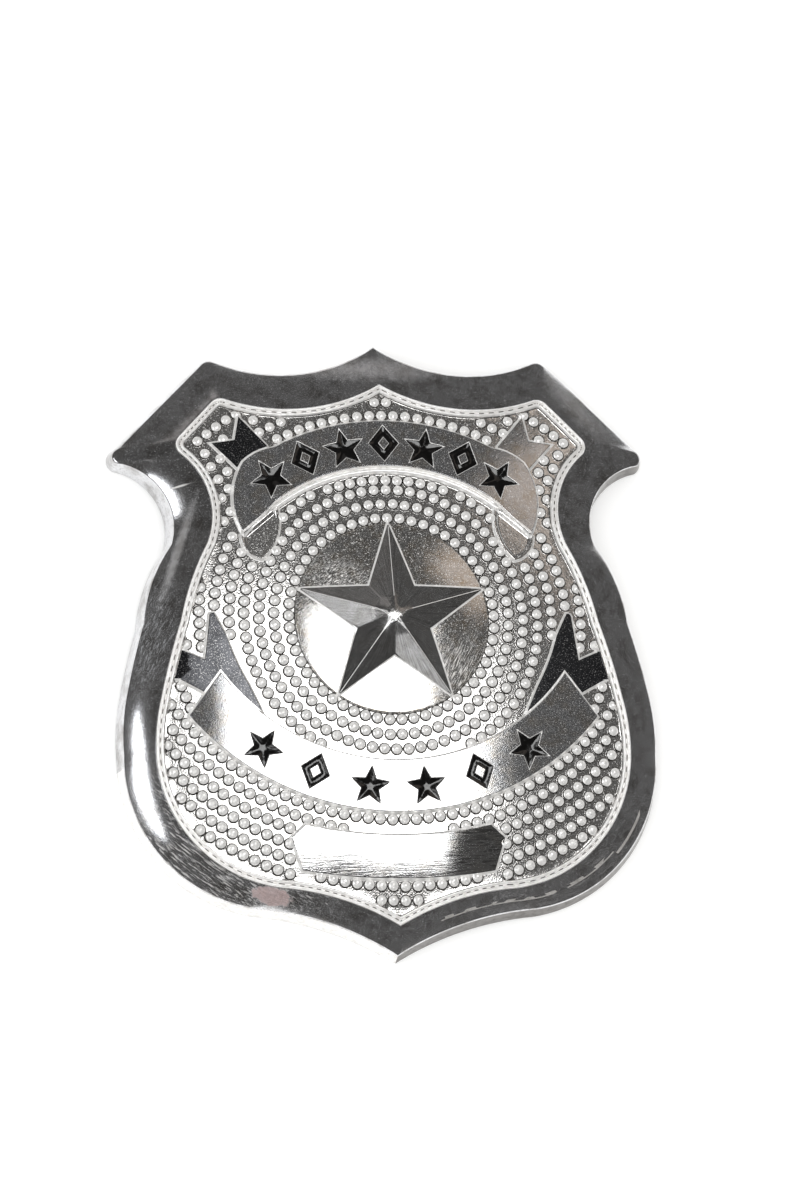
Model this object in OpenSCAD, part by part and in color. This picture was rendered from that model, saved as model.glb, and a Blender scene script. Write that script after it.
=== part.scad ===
// Pressed sheet-metal shield badge: a star disc, two ribbons with black motifs, a blank plate
// and a pin on its back. Millimetres. It lies face up on its turned-down edge, top toward +Y.
// Outlines are measured from the star's centre, right half first, and then mirrored.

/* [Shield] */
// Width of the shield across its belly
shield_w = 68.8; // [66:0.1:76]
// Height of the shield from its top peak to its foot
shield_h = 79.9; // [77:0.1:88]
// Thickness of the pressed sheet
sheet_t = 0.5; // [0.4:0.05:0.6]
// Radius that the whole face is domed to
dome_r = 215; // [190:5:300]
// Height of the ground above the table, at the star's centre
ground_z = 8.2; // [7.8:0.1:10]

/* [Rim] */
// How far the rim falls from the border line to its outer edge
rim_fall = 1.8; // [1.2:0.1:2.2]
// How far the turned-down wall leans out at its foot
wall_lean = 0.4; // [0.2:0.05:0.5]
// Width of the double border line inside the rim
border_w = 1.1; // [0.9:0.05:1.2]
// Height of the border line above the ground
border_h = 0.6; // [0.4:0.05:0.8]

/* [Star] */
// Radius of the crowned disc under the star
disc_r = 12.5; // [12:0.1:12.6]
// Rise of the disc's edge above the ground
disc_step = 0.3; // [0.2:0.05:0.5]
// Rise of the disc's crown above the ground, at its centre
disc_crown = 0.9; // [0.7:0.05:1.2]
// Radius of the star to its tips
star_r = 12.3; // [10:0.1:12.4]
// Radius of the star's inner corners
star_waist_r = 4.9; // [4:0.1:6]
// Height of the star's apex above the disc's crown
star_h = 1.9; // [1.4:0.1:2.6]
// Height of the star's edge above the disc
star_edge_h = 0.15; // [0.1:0.05:0.3]

/* [Ribbons] */
// Height of both ribbons above the ground
ribbon_h = 0.75; // [0.6:0.05:0.9]
// Inner radius of the upper ribbon
upper_r = 23.8; // [23.4:0.1:24.2]
// Width of the upper ribbon
upper_w = 6.2; // [5.6:0.1:6.6]
// Distance of the upper ribbon's centre below the star's
upper_drop = 4; // [3.5:0.1:4.5]
// Half of the angle that the upper ribbon's inner edge spans
upper_angle = 36; // [33:0.5:37]
// Width of the turned lip inside the upper ribbon
lip_w = 1; // [0.7:0.05:1.2]
// Inner radius of the lower ribbon
lower_r = 26.7; // [26:0.1:27.4]
// Width of the lower ribbon
lower_w = 6.7; // [6:0.1:7.2]
// Distance of the lower ribbon's centre above the star's
lower_rise = 8.5; // [8:0.1:9]
// Half of the angle that the lower ribbon's inner edge spans
lower_angle = 55.2; // [50:0.2:56]
// How much further round the lower ribbon's inner edge runs than its outer one
lower_skew = 3.7; // [1:0.1:5]
// Height of the folded tails, the curls and the lip above the ground
tail_h = 0.4; // [0.3:0.05:0.5]
// Height of the blank plate above the ground
plate_h = 0.6; // [0.5:0.05:0.8]

/* [Enamel] */
// Depth of the recesses that hold the black enamel
enamel_depth = 0.25; // [0.15:0.05:0.3]
// Number of motifs on the upper ribbon
upper_motifs = 7; // [4:1:7]
// Number of motifs on the lower ribbon
lower_motifs = 6; // [4:1:7]
// Half of the angle that the upper ribbon's motifs span
upper_spread = 33; // [28:0.5:33]
// Half of the angle that the lower ribbon's motifs span
lower_spread = 34; // [30:0.5:40]
// Height of one motif, across its ribbon
motif_h = 4.7; // [3.8:0.1:4.8]
// Width of a lozenge motif along its ribbon
lozenge_w = 3.8; // [3.2:0.1:4.2]
// Width of a lozenge motif's stroke
stroke_w = 0.9; // [0.7:0.05:1]
// Clear gap round the enamel in its recess
enamel_gap = 0.02; // [0.02:0.01:0.04]

/* [Pips] */
// Diameter of one raised pip
pip_d = 1.44; // [1.1:0.02:1.48]
// Height of a pip above the ground
pip_h = 0.5; // [0.35:0.05:0.6]
// Distance between neighbouring pips in a row round the star
pip_pitch = 1.54; // [1.52:0.02:2.2]
// Distance between the rows of pips round the star
pip_row = 1.88; // [1.8:0.02:2.4]
// Distance between neighbouring pips in the rows below the lower ribbon
ribbon_pitch = 1.56; // [1.52:0.02:2.4]
// Distance between the rows of pips that follow a ribbon
ribbon_row = 1.8; // [1.6:0.05:2.2]
// Least clear ground between a pip and any relief
pip_clear = 0.05; // [0.05:0.05:0.3]

/* [Pin] */
// Length of the pin's base bar
pin_l = 34; // [28:0.5:38]
// Width of the base bar
pin_w = 4.6; // [3.8:0.1:6]
// Thickness of the base bar
pin_t = 0.7; // [0.6:0.05:0.9]
// Distance of the pin above the star's centre
pin_rise = 8; // [5:0.5:10]
// Diameter of the pin's wire
wire_d = 1; // [0.8:0.05:1.2]
// Clear space between the base bar and the wire
wire_space = 1.9; // [1.6:0.1:2.2]
// Diameter of the barrel that the wire springs from
barrel_d = 2.4; // [2:0.1:2.8]
// Diameter of the hook that the wire's tip lies in
hook_d = 2.8; // [2.6:0.1:3.2]
// Width of the barrel and of the hook
hook_w = 2; // [1.4:0.1:3]
// Gap between the base bar's ends and the sheet above them
pin_gap = 0.05; // [0.04:0.01:0.1]

/* [Hidden] */
$fn = 48;
dome_fn = 360; // facets round a dome, drawn fine because it is large and shallow
pip_fn = 24;

// Columns of the outline tables: x as a share of half the width, y as a share of the height,
// the bulge of the stretch to the next row as a share of its chord, and the steps along it.
// A plus bulge swells out of the outline and a minus one sinks into it.
x = 0;
y = 1;
bulge = 2;
steps = 3;

rim_rows = [
    [0.000, 0.4661, -0.139, 8],  // top peak
    [0.590, 0.4412, 0.159, 3],   // top corner
    [0.650, 0.4358, 0.000, 2],   // shoulder
    [0.968, 0.2986, 0.300, 4],   // ear tip
    [0.974, 0.2633, -0.225, 9],  // notch
    [0.800, 0.1332, 0.065, 5],   // flare
    [0.912, 0.0063, 0.013, 3],   // flank
    [0.987, -0.1189, 0.030, 3],  // belly
    [1.000, -0.2065, 0.188, 10], // hip
    [0.523, -0.4581, -0.058, 6], // ogee
    [0.000, -0.5339, 0.000, 1]   // foot
];

border_rows = [
    [0.000, 0.3880, -0.115], // top peak
    [0.568, 0.3642, 0.159],  // top corner
    [0.622, 0.3604, 0.000],  // shoulder
    [0.749, 0.3034, 0.220],  // inner ear
    [0.746, 0.2737, -0.160], // notch
    [0.667, 0.1252, 0.035],  // flare
    [0.775, 0.0000, 0.013],  // flank
    [0.857, -0.1252, 0.030], // belly
    [0.880, -0.2027, 0.200], // hip
    [0.400, -0.4293, -0.050], // ogee
    [0.000, -0.4879, 0.000]  // foot
];

half_w = shield_w / 2;
peak_share = rim_rows[0][y];
foot_share = -rim_rows[len(rim_rows) - 1][y];
star_y = shield_h * (foot_share - peak_share) / 2;

// Points from a to b along an arc that swells to the left of its way
function stretch(a, b, swell, count) =
    let (
        chord = norm(b - a),
        way = (b - a) / chord,
        side = [-way.y, way.x] * sign(swell),
        sag = abs(swell) * chord,
        r = sag > 0 ? (chord * chord / 4 + sag * sag) / (2 * sag) : 0
    )
    [for (i = [0 : count - 1])
        let (
            along = chord * i / count,
            rise = r > 0 ? sqrt(r * r - pow(along - chord / 2, 2)) - r + sag : 0
        )
        a + way * along + side * rise];

function on_shield(rows) = [for (row = rows) [row[x] * half_w, row[y] * shield_h, row[bulge]]];
function place(row) = [row[x], row[y]];
function joined(rows, counts) = [
    for (i = [0 : len(rows) - 2])
        each stretch(place(rows[i]), place(rows[i + 1]), rows[i][bulge], counts[i])];
function same(count, rows) = [for (row = rows) count];

function mirrored(points) = [for (p = points) [-p.x, p.y]];
function reversed(points) = [for (i = [len(points) - 1 : -1 : 0]) points[i]];
function middle(points) = [for (i = [1 : len(points) - 2]) points[i]];
function closed(half) = concat(half, reversed(mirrored(middle(half))));
function both_sides(outline) = [outline, reversed(mirrored(outline))];

// A right half that runs down to the mirror line, closed by its mirror image
function whole(rows, counts) =
    closed(concat(joined(on_shield(rows), counts), [place(on_shield(rows)[len(rows) - 1])]));

// A clockwise outline moved in by d, with its corners mitred
function inset(points, d) =
    let (n = len(points))
    [for (i = [0 : n - 1])
        let (
            p = points[i],
            e1 = p - points[(i + n - 1) % n],
            e2 = points[(i + 1) % n] - p,
            n1 = [e1.y, -e1.x] / norm(e1),
            n2 = [e2.y, -e2.x] / norm(e2)
        )
        p + (n1 + n2) * d / (1 + n1 * n2)];

// Height, over a point, of the layer that lies lift above the ground
function dome_z(p, lift) = ground_z - dome_r + sqrt(pow(dome_r + lift, 2) - p.x * p.x - p.y * p.y);

rim_steps = [for (row = rim_rows) row[steps]];
rim_outline = whole(rim_rows, rim_steps);
border_outline = whole(border_rows, rim_steps);
field_outline = inset(border_outline, border_w);

// Columns of the rim's section: the share of the way from the outer edge to the border line,
// a further inset as a share of the border's width, and the height above the ground in shares
// of the rim's fall, of the border's height and of the sheet's thickness.
across = 0;
further = 1;
of_fall = 2;
of_border = 3;
of_sheet = 4;

band_steps = 6;
band_crowd = 1.4; // crowds the band's steps toward its steep outer edge
band_meets = 0.5; // share of the border's height at which the band meets it
band_start = 0.6; // slope of the band beside the border line, as a share of its mean slope
band_rows = [
    for (i = [0 : band_steps])
        let (t = pow(i / band_steps, band_crowd), out = 1 - t)
        [t, 0, -out * (band_start + (1 - band_start) * out), band_meets * t, 0]
];
ridge_rows = [
    [1, 0.14, 0, 1.00, 0],
    [1, 0.34, 0, 0.95, 0],
    [1, 0.48, 0, 0.60, 0],
    [1, 0.62, 0, 0.95, 0],
    [1, 0.82, 0, 1.00, 0],
    [1, 0.98, 0, 0.15, 0],
    [1, 1.25, 0, 0, -0.35]
];
under_rows = [
    [1.00, 1.25, 0, 0, -0.75],
    [1.00, 0.50, 0, 0.05, -0.95],
    [0.80, 0, -0.14, 0.30, -1.00],
    [0.40, 0, -0.51, 0.15, -1.10],
    [0.15, 0, -0.80, 0, -1.20]
];

// Centres of the arcs that the ribbons follow
upper_centre = [0, -upper_drop];
lower_centre = [0, lower_rise];
arc_steps = 12;

function around(centre, r, a) = centre + r * [sin(a), cos(a)];
function sweep(centre, r, from, to) = [
    for (i = [0 : arc_steps]) around(centre, r, from + (to - from) * i / arc_steps)];

// Columns of the tables beside the upper ribbon's right end: the distance along and across the
// ribbon from its inner corner, as shares of its width, and the bulge to the next row
end_rows = [
    [0.015, 1.08, 0.14], // shoulder of the end
    [0.98, -0.17, 0],    // lower point of the end
    [0, 0, 0]            // inner corner
];
curl_rows = [
    [0.02, -0.05, 0],    // under the ribbon's inner corner
    [1.02, -0.11, 0.19], // under the ribbon's lower point
    [1.00, -0.80, 0.15], // lowest point
    [0.02, -0.05, 0]
];
round_share = 0.77; // share of the ribbon's angle at which its outer arc starts to round off
round_bulge = 0.08;

function by_end(row) =
    let (
        corner = around(upper_centre, upper_r, upper_angle),
        along = [cos(upper_angle), -sin(upper_angle)],
        outward = [sin(upper_angle), cos(upper_angle)],
        p = corner + upper_w * (along * row[x] + outward * row[y])
    )
    [p.x, p.y, row[bulge]];

function upper_half() =
    let (
        outer = sweep(upper_centre, upper_r + upper_w, 0, upper_angle * round_share),
        last = outer[arc_steps],
        ends = [for (row = end_rows) by_end(row)]
    )
    concat(
        [for (i = [0 : arc_steps - 1]) outer[i]],
        stretch(last, place(ends[0]), round_bulge, 3),
        joined(ends, same(6, ends)),
        sweep(upper_centre, upper_r, upper_angle, 0)
    );
upper_outline = closed(upper_half());
curl_outline = joined([for (row = curl_rows) by_end(row)], same(5, curl_rows));

lip_angle = upper_angle + 3; // the lip runs on past the ribbon's inner corner
lip_outline = closed(concat(
    sweep(upper_centre, upper_r + lip_w / 2, 0, lip_angle),
    sweep(upper_centre, upper_r - lip_w, lip_angle, 0)
));

lower_outline = closed(concat(
    sweep(lower_centre, lower_r, 180, 180 - lower_angle),
    sweep(lower_centre, lower_r + lower_w, 180 - lower_angle + lower_skew, 180)
));

upper_tail_rows = [
    [0.427, 0.2852, 0],
    [0.529, 0.3369, 0], // upper point
    [0.549, 0.2961, 0], // notch
    [0.637, 0.2912, 0], // outer point
    [0.544, 0.2474, 0],
    [0.420, 0.2504, 0], // under the ribbon
    [0.427, 0.2852, 0]
];
lower_tail_rows = [
    [0.652, 0.0119, 0.3], // upper point
    [0.674, 0.0030, 0],
    [0.695, -0.0626, 0],  // notch
    [0.776, -0.0465, 0],  // under the border
    [0.805, -0.0915, 0],
    [0.709, -0.1153, 0],  // beside the ribbon's corner
    [0.581, -0.1501, 0],  // under the ribbon
    [0.486, -0.1501, 0],
    [0.532, -0.1063, -0.03],
    [0.610, -0.0248, 0],
    [0.652, 0.0119, 0]
];
plate_rows = [
    [0.000, -0.3454, -0.031], // top edge
    [0.343, -0.3272, 0],      // top corner
    [0.398, -0.3479, 0],      // side corner
    [0.358, -0.4012, 0.026],  // bottom corner
    [0.000, -0.4155, 0]
];
upper_tail_outline = joined(on_shield(upper_tail_rows), same(1, upper_tail_rows));
lower_tail_outline = joined(on_shield(lower_tail_rows), same(2, lower_tail_rows));
plate_outline = whole(plate_rows, same(4, plate_rows));

// Reliefs as pairs of an outline and a height above the ground. The broad ones are pressed from
// behind, so the back is hollow under them, and the narrow ones are solid.
outline = 0;
height = 1;
broad_reliefs = [[upper_outline, ribbon_h], [lower_outline, ribbon_h], [plate_outline, plate_h]];
narrow_reliefs = [
    [lip_outline, tail_h],
    for (side = both_sides(curl_outline)) [side, tail_h],
    for (side = both_sides(upper_tail_outline)) [side, tail_h],
    for (side = both_sides(lower_tail_outline)) [side, tail_h]
];
reliefs = concat(broad_reliefs, narrow_reliefs);

// True where a point lies inside an outline
function within(p, edge) =
    let (n = len(edge))
    len([for (i = [0 : n - 1])
        let (a = edge[i], b = edge[(i + 1) % n])
        if ((a.y > p.y) != (b.y > p.y) && p.x < a.x + (p.y - a.y) * (b.x - a.x) / (b.y - a.y)) i]) % 2 == 1;

// Distance from a point to an outline
function off(p, edge) =
    let (n = len(edge))
    min([for (i = [0 : n - 1])
        let (
            a = edge[i],
            e = edge[(i + 1) % n] - a,
            t = max(0, min(1, ((p - a) * e) / (e * e)))
        )
        norm(p - a - e * t)]);

// Pips stand in rows round the star, and beyond each ribbon in rows that follow it
first_ring_gap = 0.15; // clear ground between the disc and the first row
pip_room = pip_d / 2 + pip_clear;
reach = norm([half_w, shield_h * foot_share]);
function row_of_pips(centre, r, pitch, k) =
    let (n = floor(2 * PI * r / pitch))
    [for (i = [0 : n - 1]) around(centre, r, 360 * (i + (k % 2) / 2) / n)];
function rows_of_pips(centre, first, gap, pitch) = [
    for (k = [0 : floor((reach - first) / gap)])
        each row_of_pips(centre, first + k * gap, k == 0 ? pip_pitch : pitch, k)];
function beyond_upper(p) = p.y > 0 && norm(p - upper_centre) > upper_r + upper_w;
function beyond_lower(p) = p.y < 0 && norm(p - lower_centre) > lower_r + lower_w;
function blocked(p) = len([
    for (relief = reliefs)
        if (within(p, relief[outline]) || off(p, relief[outline]) < pip_room) 1]) > 0;
function free(p) = within(p, field_outline) && off(p, field_outline) > pip_room && !blocked(p);
pips = [
    for (p = rows_of_pips([0, 0], disc_r + pip_d / 2 + first_ring_gap, pip_row, pip_pitch))
        if (!beyond_upper(p) && !beyond_lower(p) && free(p)) p,
    for (p = rows_of_pips(upper_centre, upper_r + upper_w + pip_room, ribbon_row, pip_pitch))
        if (beyond_upper(p) && free(p)) p,
    for (p = rows_of_pips(lower_centre, lower_r + lower_w + pip_room, ribbon_row, ribbon_pitch))
        if (beyond_lower(p) && free(p)) p
];

// A closed band whose section runs round through the rings of points
module ring_band(rings) {
    n = len(rings[0]);
    m = len(rings);
    faces = [for (k = [0 : m - 1], i = [0 : n - 1])
        let (
            j = (i + 1) % n,
            a = k * n + i,
            b = k * n + j,
            c = ((k + 1) % m) * n + j,
            d = ((k + 1) % m) * n + i
        )
        each [[a, c, d], [a, b, c]]];
    polyhedron([for (ring = rings) each ring], faces);
}

function section_ring(row, edge) =
    let (
        flat = [for (i = [0 : len(edge) - 1])
            edge[i] * (1 - row[across]) + border_outline[i] * row[across]],
        ring = row[further] > 0 ? inset(flat, row[further] * border_w) : flat,
        lift = row[of_fall] * rim_fall + row[of_border] * border_h + row[of_sheet] * sheet_t
    )
    [for (p = ring) [p.x, p.y, dome_z(p, lift)]];
function floor_ring(ring) = [for (p = ring) [p.x, p.y, 0]];

// Rim, its turned-down wall and the double border line, ending in a tongue inside the field
module rim() {
    edge = inset(rim_outline, wall_lean);
    inner_edge = [for (p = inset(edge, sheet_t)) [p.x, p.y, dome_z(p, -rim_fall - sheet_t / 2)]];
    ring_band(concat(
        [floor_ring(rim_outline)],
        [for (row = concat(band_rows, ridge_rows, under_rows)) section_ring(row, edge)],
        [inner_edge, floor_ring(inset(rim_outline, sheet_t))]
    ));
}

module ball(r) rotate([90, 0, 0]) sphere(r, $fn = dome_fn);

// Everything inside an outline, from a level up to the layer that lies lift above the ground
stock_z = 2; // level that the solid stock reaches down to before its back is hollowed
module under_dome(edge, lift, level) {
    intersection() {
        translate([0, 0, level]) linear_extrude(2 * ground_z) polygon(edge);
        translate([0, 0, ground_z - dome_r]) ball(dome_r + lift);
    }
}
module raised(relief) under_dome(relief[outline], relief[height], stock_z);
module pressed_behind(relief)
    under_dome(inset(relief[outline], sheet_t), relief[height] - sheet_t, stock_z);

// The field's edge lies under the border, and the hollow behind it reaches a little further
field_edge = inset(border_outline, border_w * 0.7);
hollow_edge = inset(border_outline, border_w * 0.6);

module pip_field() {
    r = (pow(pip_d / 2, 2) + pip_h * pip_h) / (2 * pip_h);
    for (p = pips)
        translate([p.x, p.y, dome_z(p, pip_h) - r]) rotate([90, 0, 0]) sphere(r, $fn = pip_fn);
}

// The disc is crowned to a tighter dome than the shield
disc_top = ground_z + disc_crown;
disc_sag = disc_crown - disc_step + dome_r - sqrt(dome_r * dome_r - disc_r * disc_r);
disc_dome_r = (disc_r * disc_r + disc_sag * disc_sag) / (2 * disc_sag);
function disc_z(p) = disc_top - disc_dome_r + sqrt(disc_dome_r * disc_dome_r - p * p);
module disc(thinner) {
    intersection() {
        cylinder(r = disc_r - thinner, h = disc_top);
        translate([0, 0, disc_top - disc_dome_r]) ball(disc_dome_r - thinner);
    }
}

// A five-pointed star with a ridge along each arm, drawn smaller by its tips, waist and height
star_root = 1.2; // how far the star's body goes down below the disc's edge
module star(less_tip, less_waist, lower) {
    base_z = disc_top - disc_sag - star_root;
    corners = [for (i = [0 : 9])
        around([0, 0], i % 2 == 0 ? star_r - less_tip : star_waist_r - less_waist, i * 36)];
    points = [
        for (p = corners) [p.x, p.y, disc_z(p) + star_edge_h - lower],
        for (p = corners) [p.x, p.y, base_z],
        [0, 0, disc_top + star_h - lower],
        [0, 0, base_z]
    ];
    faces = [for (i = [0 : 9])
        let (j = (i + 1) % 10)
        each [[20, i, j], [j, i, i + 10], [j, i + 10, j + 10], [21, j + 10, i + 10]]];
    polyhedron(points, faces);
}

// One motif, a five-pointed star or an open lozenge, drawn smaller all round by a gap
motif_r = motif_h / (1 + cos(36));
motif_waist = 0.45; // radius of a motif star's inner corners, as a share of its tips'
motif_star = [for (i = [0 : 9])
    around([0, motif_h / 2 - motif_r], i % 2 == 0 ? motif_r : motif_r * motif_waist, i * 36)];
lozenge = [[0, motif_h / 2], [lozenge_w / 2, 0], [0, -motif_h / 2], [-lozenge_w / 2, 0]];
module motif(starred, gap) {
    if (starred) polygon(inset(motif_star, gap));
    else difference() {
        polygon(inset(lozenge, gap));
        polygon(inset(lozenge, stroke_w - gap));
    }
}
module upper_row(gap) {
    half = (upper_motifs - 1) / 2;
    for (i = [0 : upper_motifs - 1])
        translate(upper_centre) rotate((1 - i / half) * upper_spread)
            translate([0, upper_r + upper_w / 2]) motif(i % 2 == 0, gap);
}
module lower_row(gap) {
    half = (lower_motifs - 1) / 2;
    for (i = [0 : lower_motifs - 1])
        translate(lower_centre) rotate((i / half - 1) * lower_spread)
            translate([0, -lower_r - lower_w / 2]) motif(min(i, lower_motifs - 1 - i) % 2 == 0, gap);
}

// What stands above a layer, inside flat shapes drawn on the ribbons
module above(lift) {
    difference() {
        linear_extrude(2 * ground_z) children();
        translate([0, 0, ground_z - dome_r]) ball(dome_r + lift);
    }
}
module infill() {
    intersection() {
        above(ribbon_h - enamel_depth + enamel_gap) children();
        translate([0, 0, ground_z - dome_r]) ball(dome_r + ribbon_h - enamel_gap);
    }
}

module shield() {
    color("silver") translate([0, star_y, 0]) difference() {
        union() {
            rim();
            under_dome(field_edge, 0, stock_z);
            for (relief = reliefs) raised(relief);
            disc(0);
            star(0, 0, 0);
            pip_field();
        }
        under_dome(hollow_edge, -sheet_t, -1);
        for (relief = broad_reliefs) pressed_behind(relief);
        disc(sheet_t);
        star(3 * sheet_t, sheet_t, sheet_t);
        above(ribbon_h - enamel_depth) upper_row(0);
        above(ribbon_h - enamel_depth) lower_row(0);
    }
}

module upper_enamel() {
    color("black") translate([0, star_y, 0]) infill() upper_row(enamel_gap);
}

module lower_enamel() {
    color("black") translate([0, star_y, 0]) infill() lower_row(enamel_gap);
}

// The base bar hugs the back. The wire springs from a barrel at one end and lies in a hook.
bar_far = [pin_l / 2, pin_rise + pin_w / 2];
bar_z = dome_z(bar_far, -sheet_t) - pin_gap - pin_t;
wire_z = bar_z - wire_space - wire_d / 2;
post_x = pin_l / 2 - pin_w / 2;
tip_l = 2; // length of the wire's sharpened tip
module along_y(d, l) rotate([90, 0, 0]) cylinder(d = d, h = l, center = true);
module along_x(d1, d2, l) rotate([0, 90, 0]) cylinder(d1 = d1, d2 = d2, h = l);
module post() translate([-wire_d / 2, -hook_w / 2, 0]) cube([wire_d, hook_w, bar_z - wire_z]);
module pin() {
    color("gainsboro") translate([0, star_y + pin_rise, 0]) {
        translate([-post_x, -pin_w / 2, bar_z]) cube([2 * post_x, pin_w, pin_t]);
        for (side = [-1, 1])
            translate([side * post_x, 0, bar_z]) cylinder(d = pin_w, h = pin_t);
        translate([-post_x, 0, wire_z]) {
            along_y(barrel_d, hook_w);
            post();
            along_x(wire_d, wire_d, 2 * post_x - wire_d);
        }
        translate([post_x - wire_d, 0, wire_z]) along_x(wire_d, wire_d / 4, tip_l);
        translate([post_x, 0, wire_z]) difference() {
            union() {
                along_y(hook_d, hook_w);
                post();
            }
            along_y(hook_d - wire_d, hook_w + 1);
        }
    }
}

shield();
upper_enamel();
lower_enamel();
pin();
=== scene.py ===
import functools
import math
import random

import bpy
import numpy as np
from mathutils import Matrix, Vector
from mathutils.geometry import delaunay_2d_cdt


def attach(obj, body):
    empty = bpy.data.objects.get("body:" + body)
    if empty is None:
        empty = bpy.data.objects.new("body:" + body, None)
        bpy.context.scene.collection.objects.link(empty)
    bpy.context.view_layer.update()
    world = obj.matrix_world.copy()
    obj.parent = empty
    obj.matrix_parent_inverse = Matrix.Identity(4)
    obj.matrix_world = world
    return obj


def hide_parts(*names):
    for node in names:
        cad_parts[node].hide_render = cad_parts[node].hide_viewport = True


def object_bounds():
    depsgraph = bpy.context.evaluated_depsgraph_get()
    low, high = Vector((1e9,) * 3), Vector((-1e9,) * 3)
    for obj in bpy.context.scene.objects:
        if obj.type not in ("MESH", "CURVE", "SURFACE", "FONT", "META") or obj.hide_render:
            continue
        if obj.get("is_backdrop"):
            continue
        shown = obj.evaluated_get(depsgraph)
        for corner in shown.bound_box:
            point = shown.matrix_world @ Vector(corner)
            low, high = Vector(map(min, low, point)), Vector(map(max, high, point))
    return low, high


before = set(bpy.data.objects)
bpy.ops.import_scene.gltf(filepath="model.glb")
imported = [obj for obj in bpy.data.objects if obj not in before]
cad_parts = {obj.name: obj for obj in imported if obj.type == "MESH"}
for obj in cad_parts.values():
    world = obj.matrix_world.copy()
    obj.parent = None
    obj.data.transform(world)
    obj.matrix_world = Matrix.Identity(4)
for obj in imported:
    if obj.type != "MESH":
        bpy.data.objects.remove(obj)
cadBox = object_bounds()
print("frame loaded, nodes:", sorted(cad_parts))

scene = bpy.context.scene
scene.view_settings.view_transform = "Standard"  # keeps the blown-out white of the backdrop
mm = 0.001

# the camera looks from the lower left and nearly straight down
cameraView = {
    "azimuth": -35.4,  # degrees round the badge, 0 looks along +Y
    "elevation": 72.1,
    "lean": 2.5,  # degrees that the badge's top leans to the left in the picture
    "target": (1.02, 4.91, 8.8),  # mm, the point in the middle of the picture
    "tall": 150.6,  # mm of the badge's surroundings from the picture's top to its bottom
    "lens": 500,  # mm, long, so the badge shows hardly any perspective
    "sensor": 36,
    "clip": (0.05, 20),  # m
}


def makeCamera(look):
    a, e, lean = (math.radians(look[k]) for k in ("azimuth", "elevation", "lean"))
    back = Vector((math.sin(a) * math.cos(e), -math.cos(a) * math.cos(e), math.sin(e)))
    up = (Vector((0, 1, 0)) - back * back.y).normalized()
    right = up.cross(back)
    leaned = right * math.cos(lean) - up * math.sin(lean)
    upward = back.cross(leaned)
    data = bpy.data.cameras.new("Camera")
    data.lens, data.sensor_width = look["lens"], look["sensor"]
    data.clip_start, data.clip_end = look["clip"]
    camera = bpy.data.objects.new("Camera", data)
    distance = look["tall"] * mm * data.lens / data.sensor_width
    place = Vector(look["target"]) * mm + back * distance
    turn = Matrix((leaned, upward, back)).transposed().to_4x4()
    camera.matrix_world = Matrix.Translation(place) @ turn
    scene.collection.objects.link(camera)
    scene.camera = camera


makeCamera(cameraView)
print("camera placed")

# shapes that the pieces share, in millimetres from the star's centre
badge = {
    "width": 68.8,
    "height": 79.9,
    "sheet": 0.5,  # thickness of the pressed sheet
    "domeRadius": 215,
    "ground": 8.2,  # height of the ground above the table at the star's centre
    "rimFall": 1.8,
    "rimRound": (0.12, 0.33),  # how round the rim falls, on its right and added on its left
    "rimRoll": 0.1,
    "rimUneven": 0.035,
    "wallLean": 0.4,
    "borderWidth": 1.1,
    "borderHeight": 0.6,
}

# x as a share of half the width, y as a share of the height, bulge to the next row, steps
rimRows = [
    (0.000, 0.4661, -0.139, 32),  # top peak
    (0.590, 0.4412, 0.159, 8),  # top corner
    (0.650, 0.4358, 0.000, 18),  # shoulder
    (0.968, 0.2986, 0.300, 10),  # ear tip
    (0.974, 0.2633, -0.225, 30),  # notch
    (0.800, 0.1332, 0.065, 16),  # flare
    (0.912, 0.0063, 0.013, 14),  # flank
    (0.987, -0.1189, 0.030, 10),  # belly
    (1.000, -0.2065, 0.188, 40),  # hip
    (0.523, -0.4581, -0.058, 28),  # ogee
    (0.000, -0.5339, 0.000, 1),  # foot
]
borderRows = [
    (0.000, 0.3880, -0.115),
    (0.568, 0.3642, 0.159),
    (0.622, 0.3604, 0.000),
    (0.749, 0.3034, 0.220),
    (0.746, 0.2737, -0.160),
    (0.667, 0.1252, 0.035),
    (0.775, 0.0000, 0.013),
    (0.857, -0.1252, 0.030),
    (0.880, -0.2027, 0.200),
    (0.400, -0.4293, -0.050),
    (0.000, -0.4879, 0.000),
]
peak, foot = rimRows[0][1], -rimRows[-1][1]
halfWidth = badge["width"] / 2
starY = badge["height"] * (foot - peak) / 2  # the star's centre above the box's middle
rng = random.Random(7)


def stretch(a, b, swell, count):  # points from a to b along an arc that swells to the left
    a, b = np.array(a, float), np.array(b, float)
    chord = np.linalg.norm(b - a)
    way = (b - a) / chord
    side = np.array([-way[1], way[0]]) * np.sign(swell)
    sag = abs(swell) * chord
    along = chord * np.arange(count) / count
    rise = along * 0
    if sag > 0:
        r = (chord**2 / 4 + sag**2) / (2 * sag)
        rise = np.sqrt(r * r - (along - chord / 2) ** 2) - r + sag
    return a + along[:, None] * way + rise[:, None] * side


def onShield(rows):
    return [(r[0] * halfWidth, r[1] * badge["height"], *r[2:]) for r in rows]


def joined(rows, counts):
    return np.vstack([stretch(a[:2], b[:2], a[2], n) for a, b, n in zip(rows, rows[1:], counts)])


def closed(half):  # a right half from mirror line to mirror line, closed by its mirror image
    return np.vstack([half, half[1:-1][::-1] * (-1, 1)])


def whole(rows, counts):
    placed = onShield(rows)
    return closed(np.vstack([joined(placed, counts), [placed[-1][:2]]]))


def straightSides(corners, count):  # a closed shape with points along its straight sides
    ends = np.roll(corners, -1, axis=0)
    return np.vstack([stretch(a, b, 0, count) for a, b in zip(corners, ends)])


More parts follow.
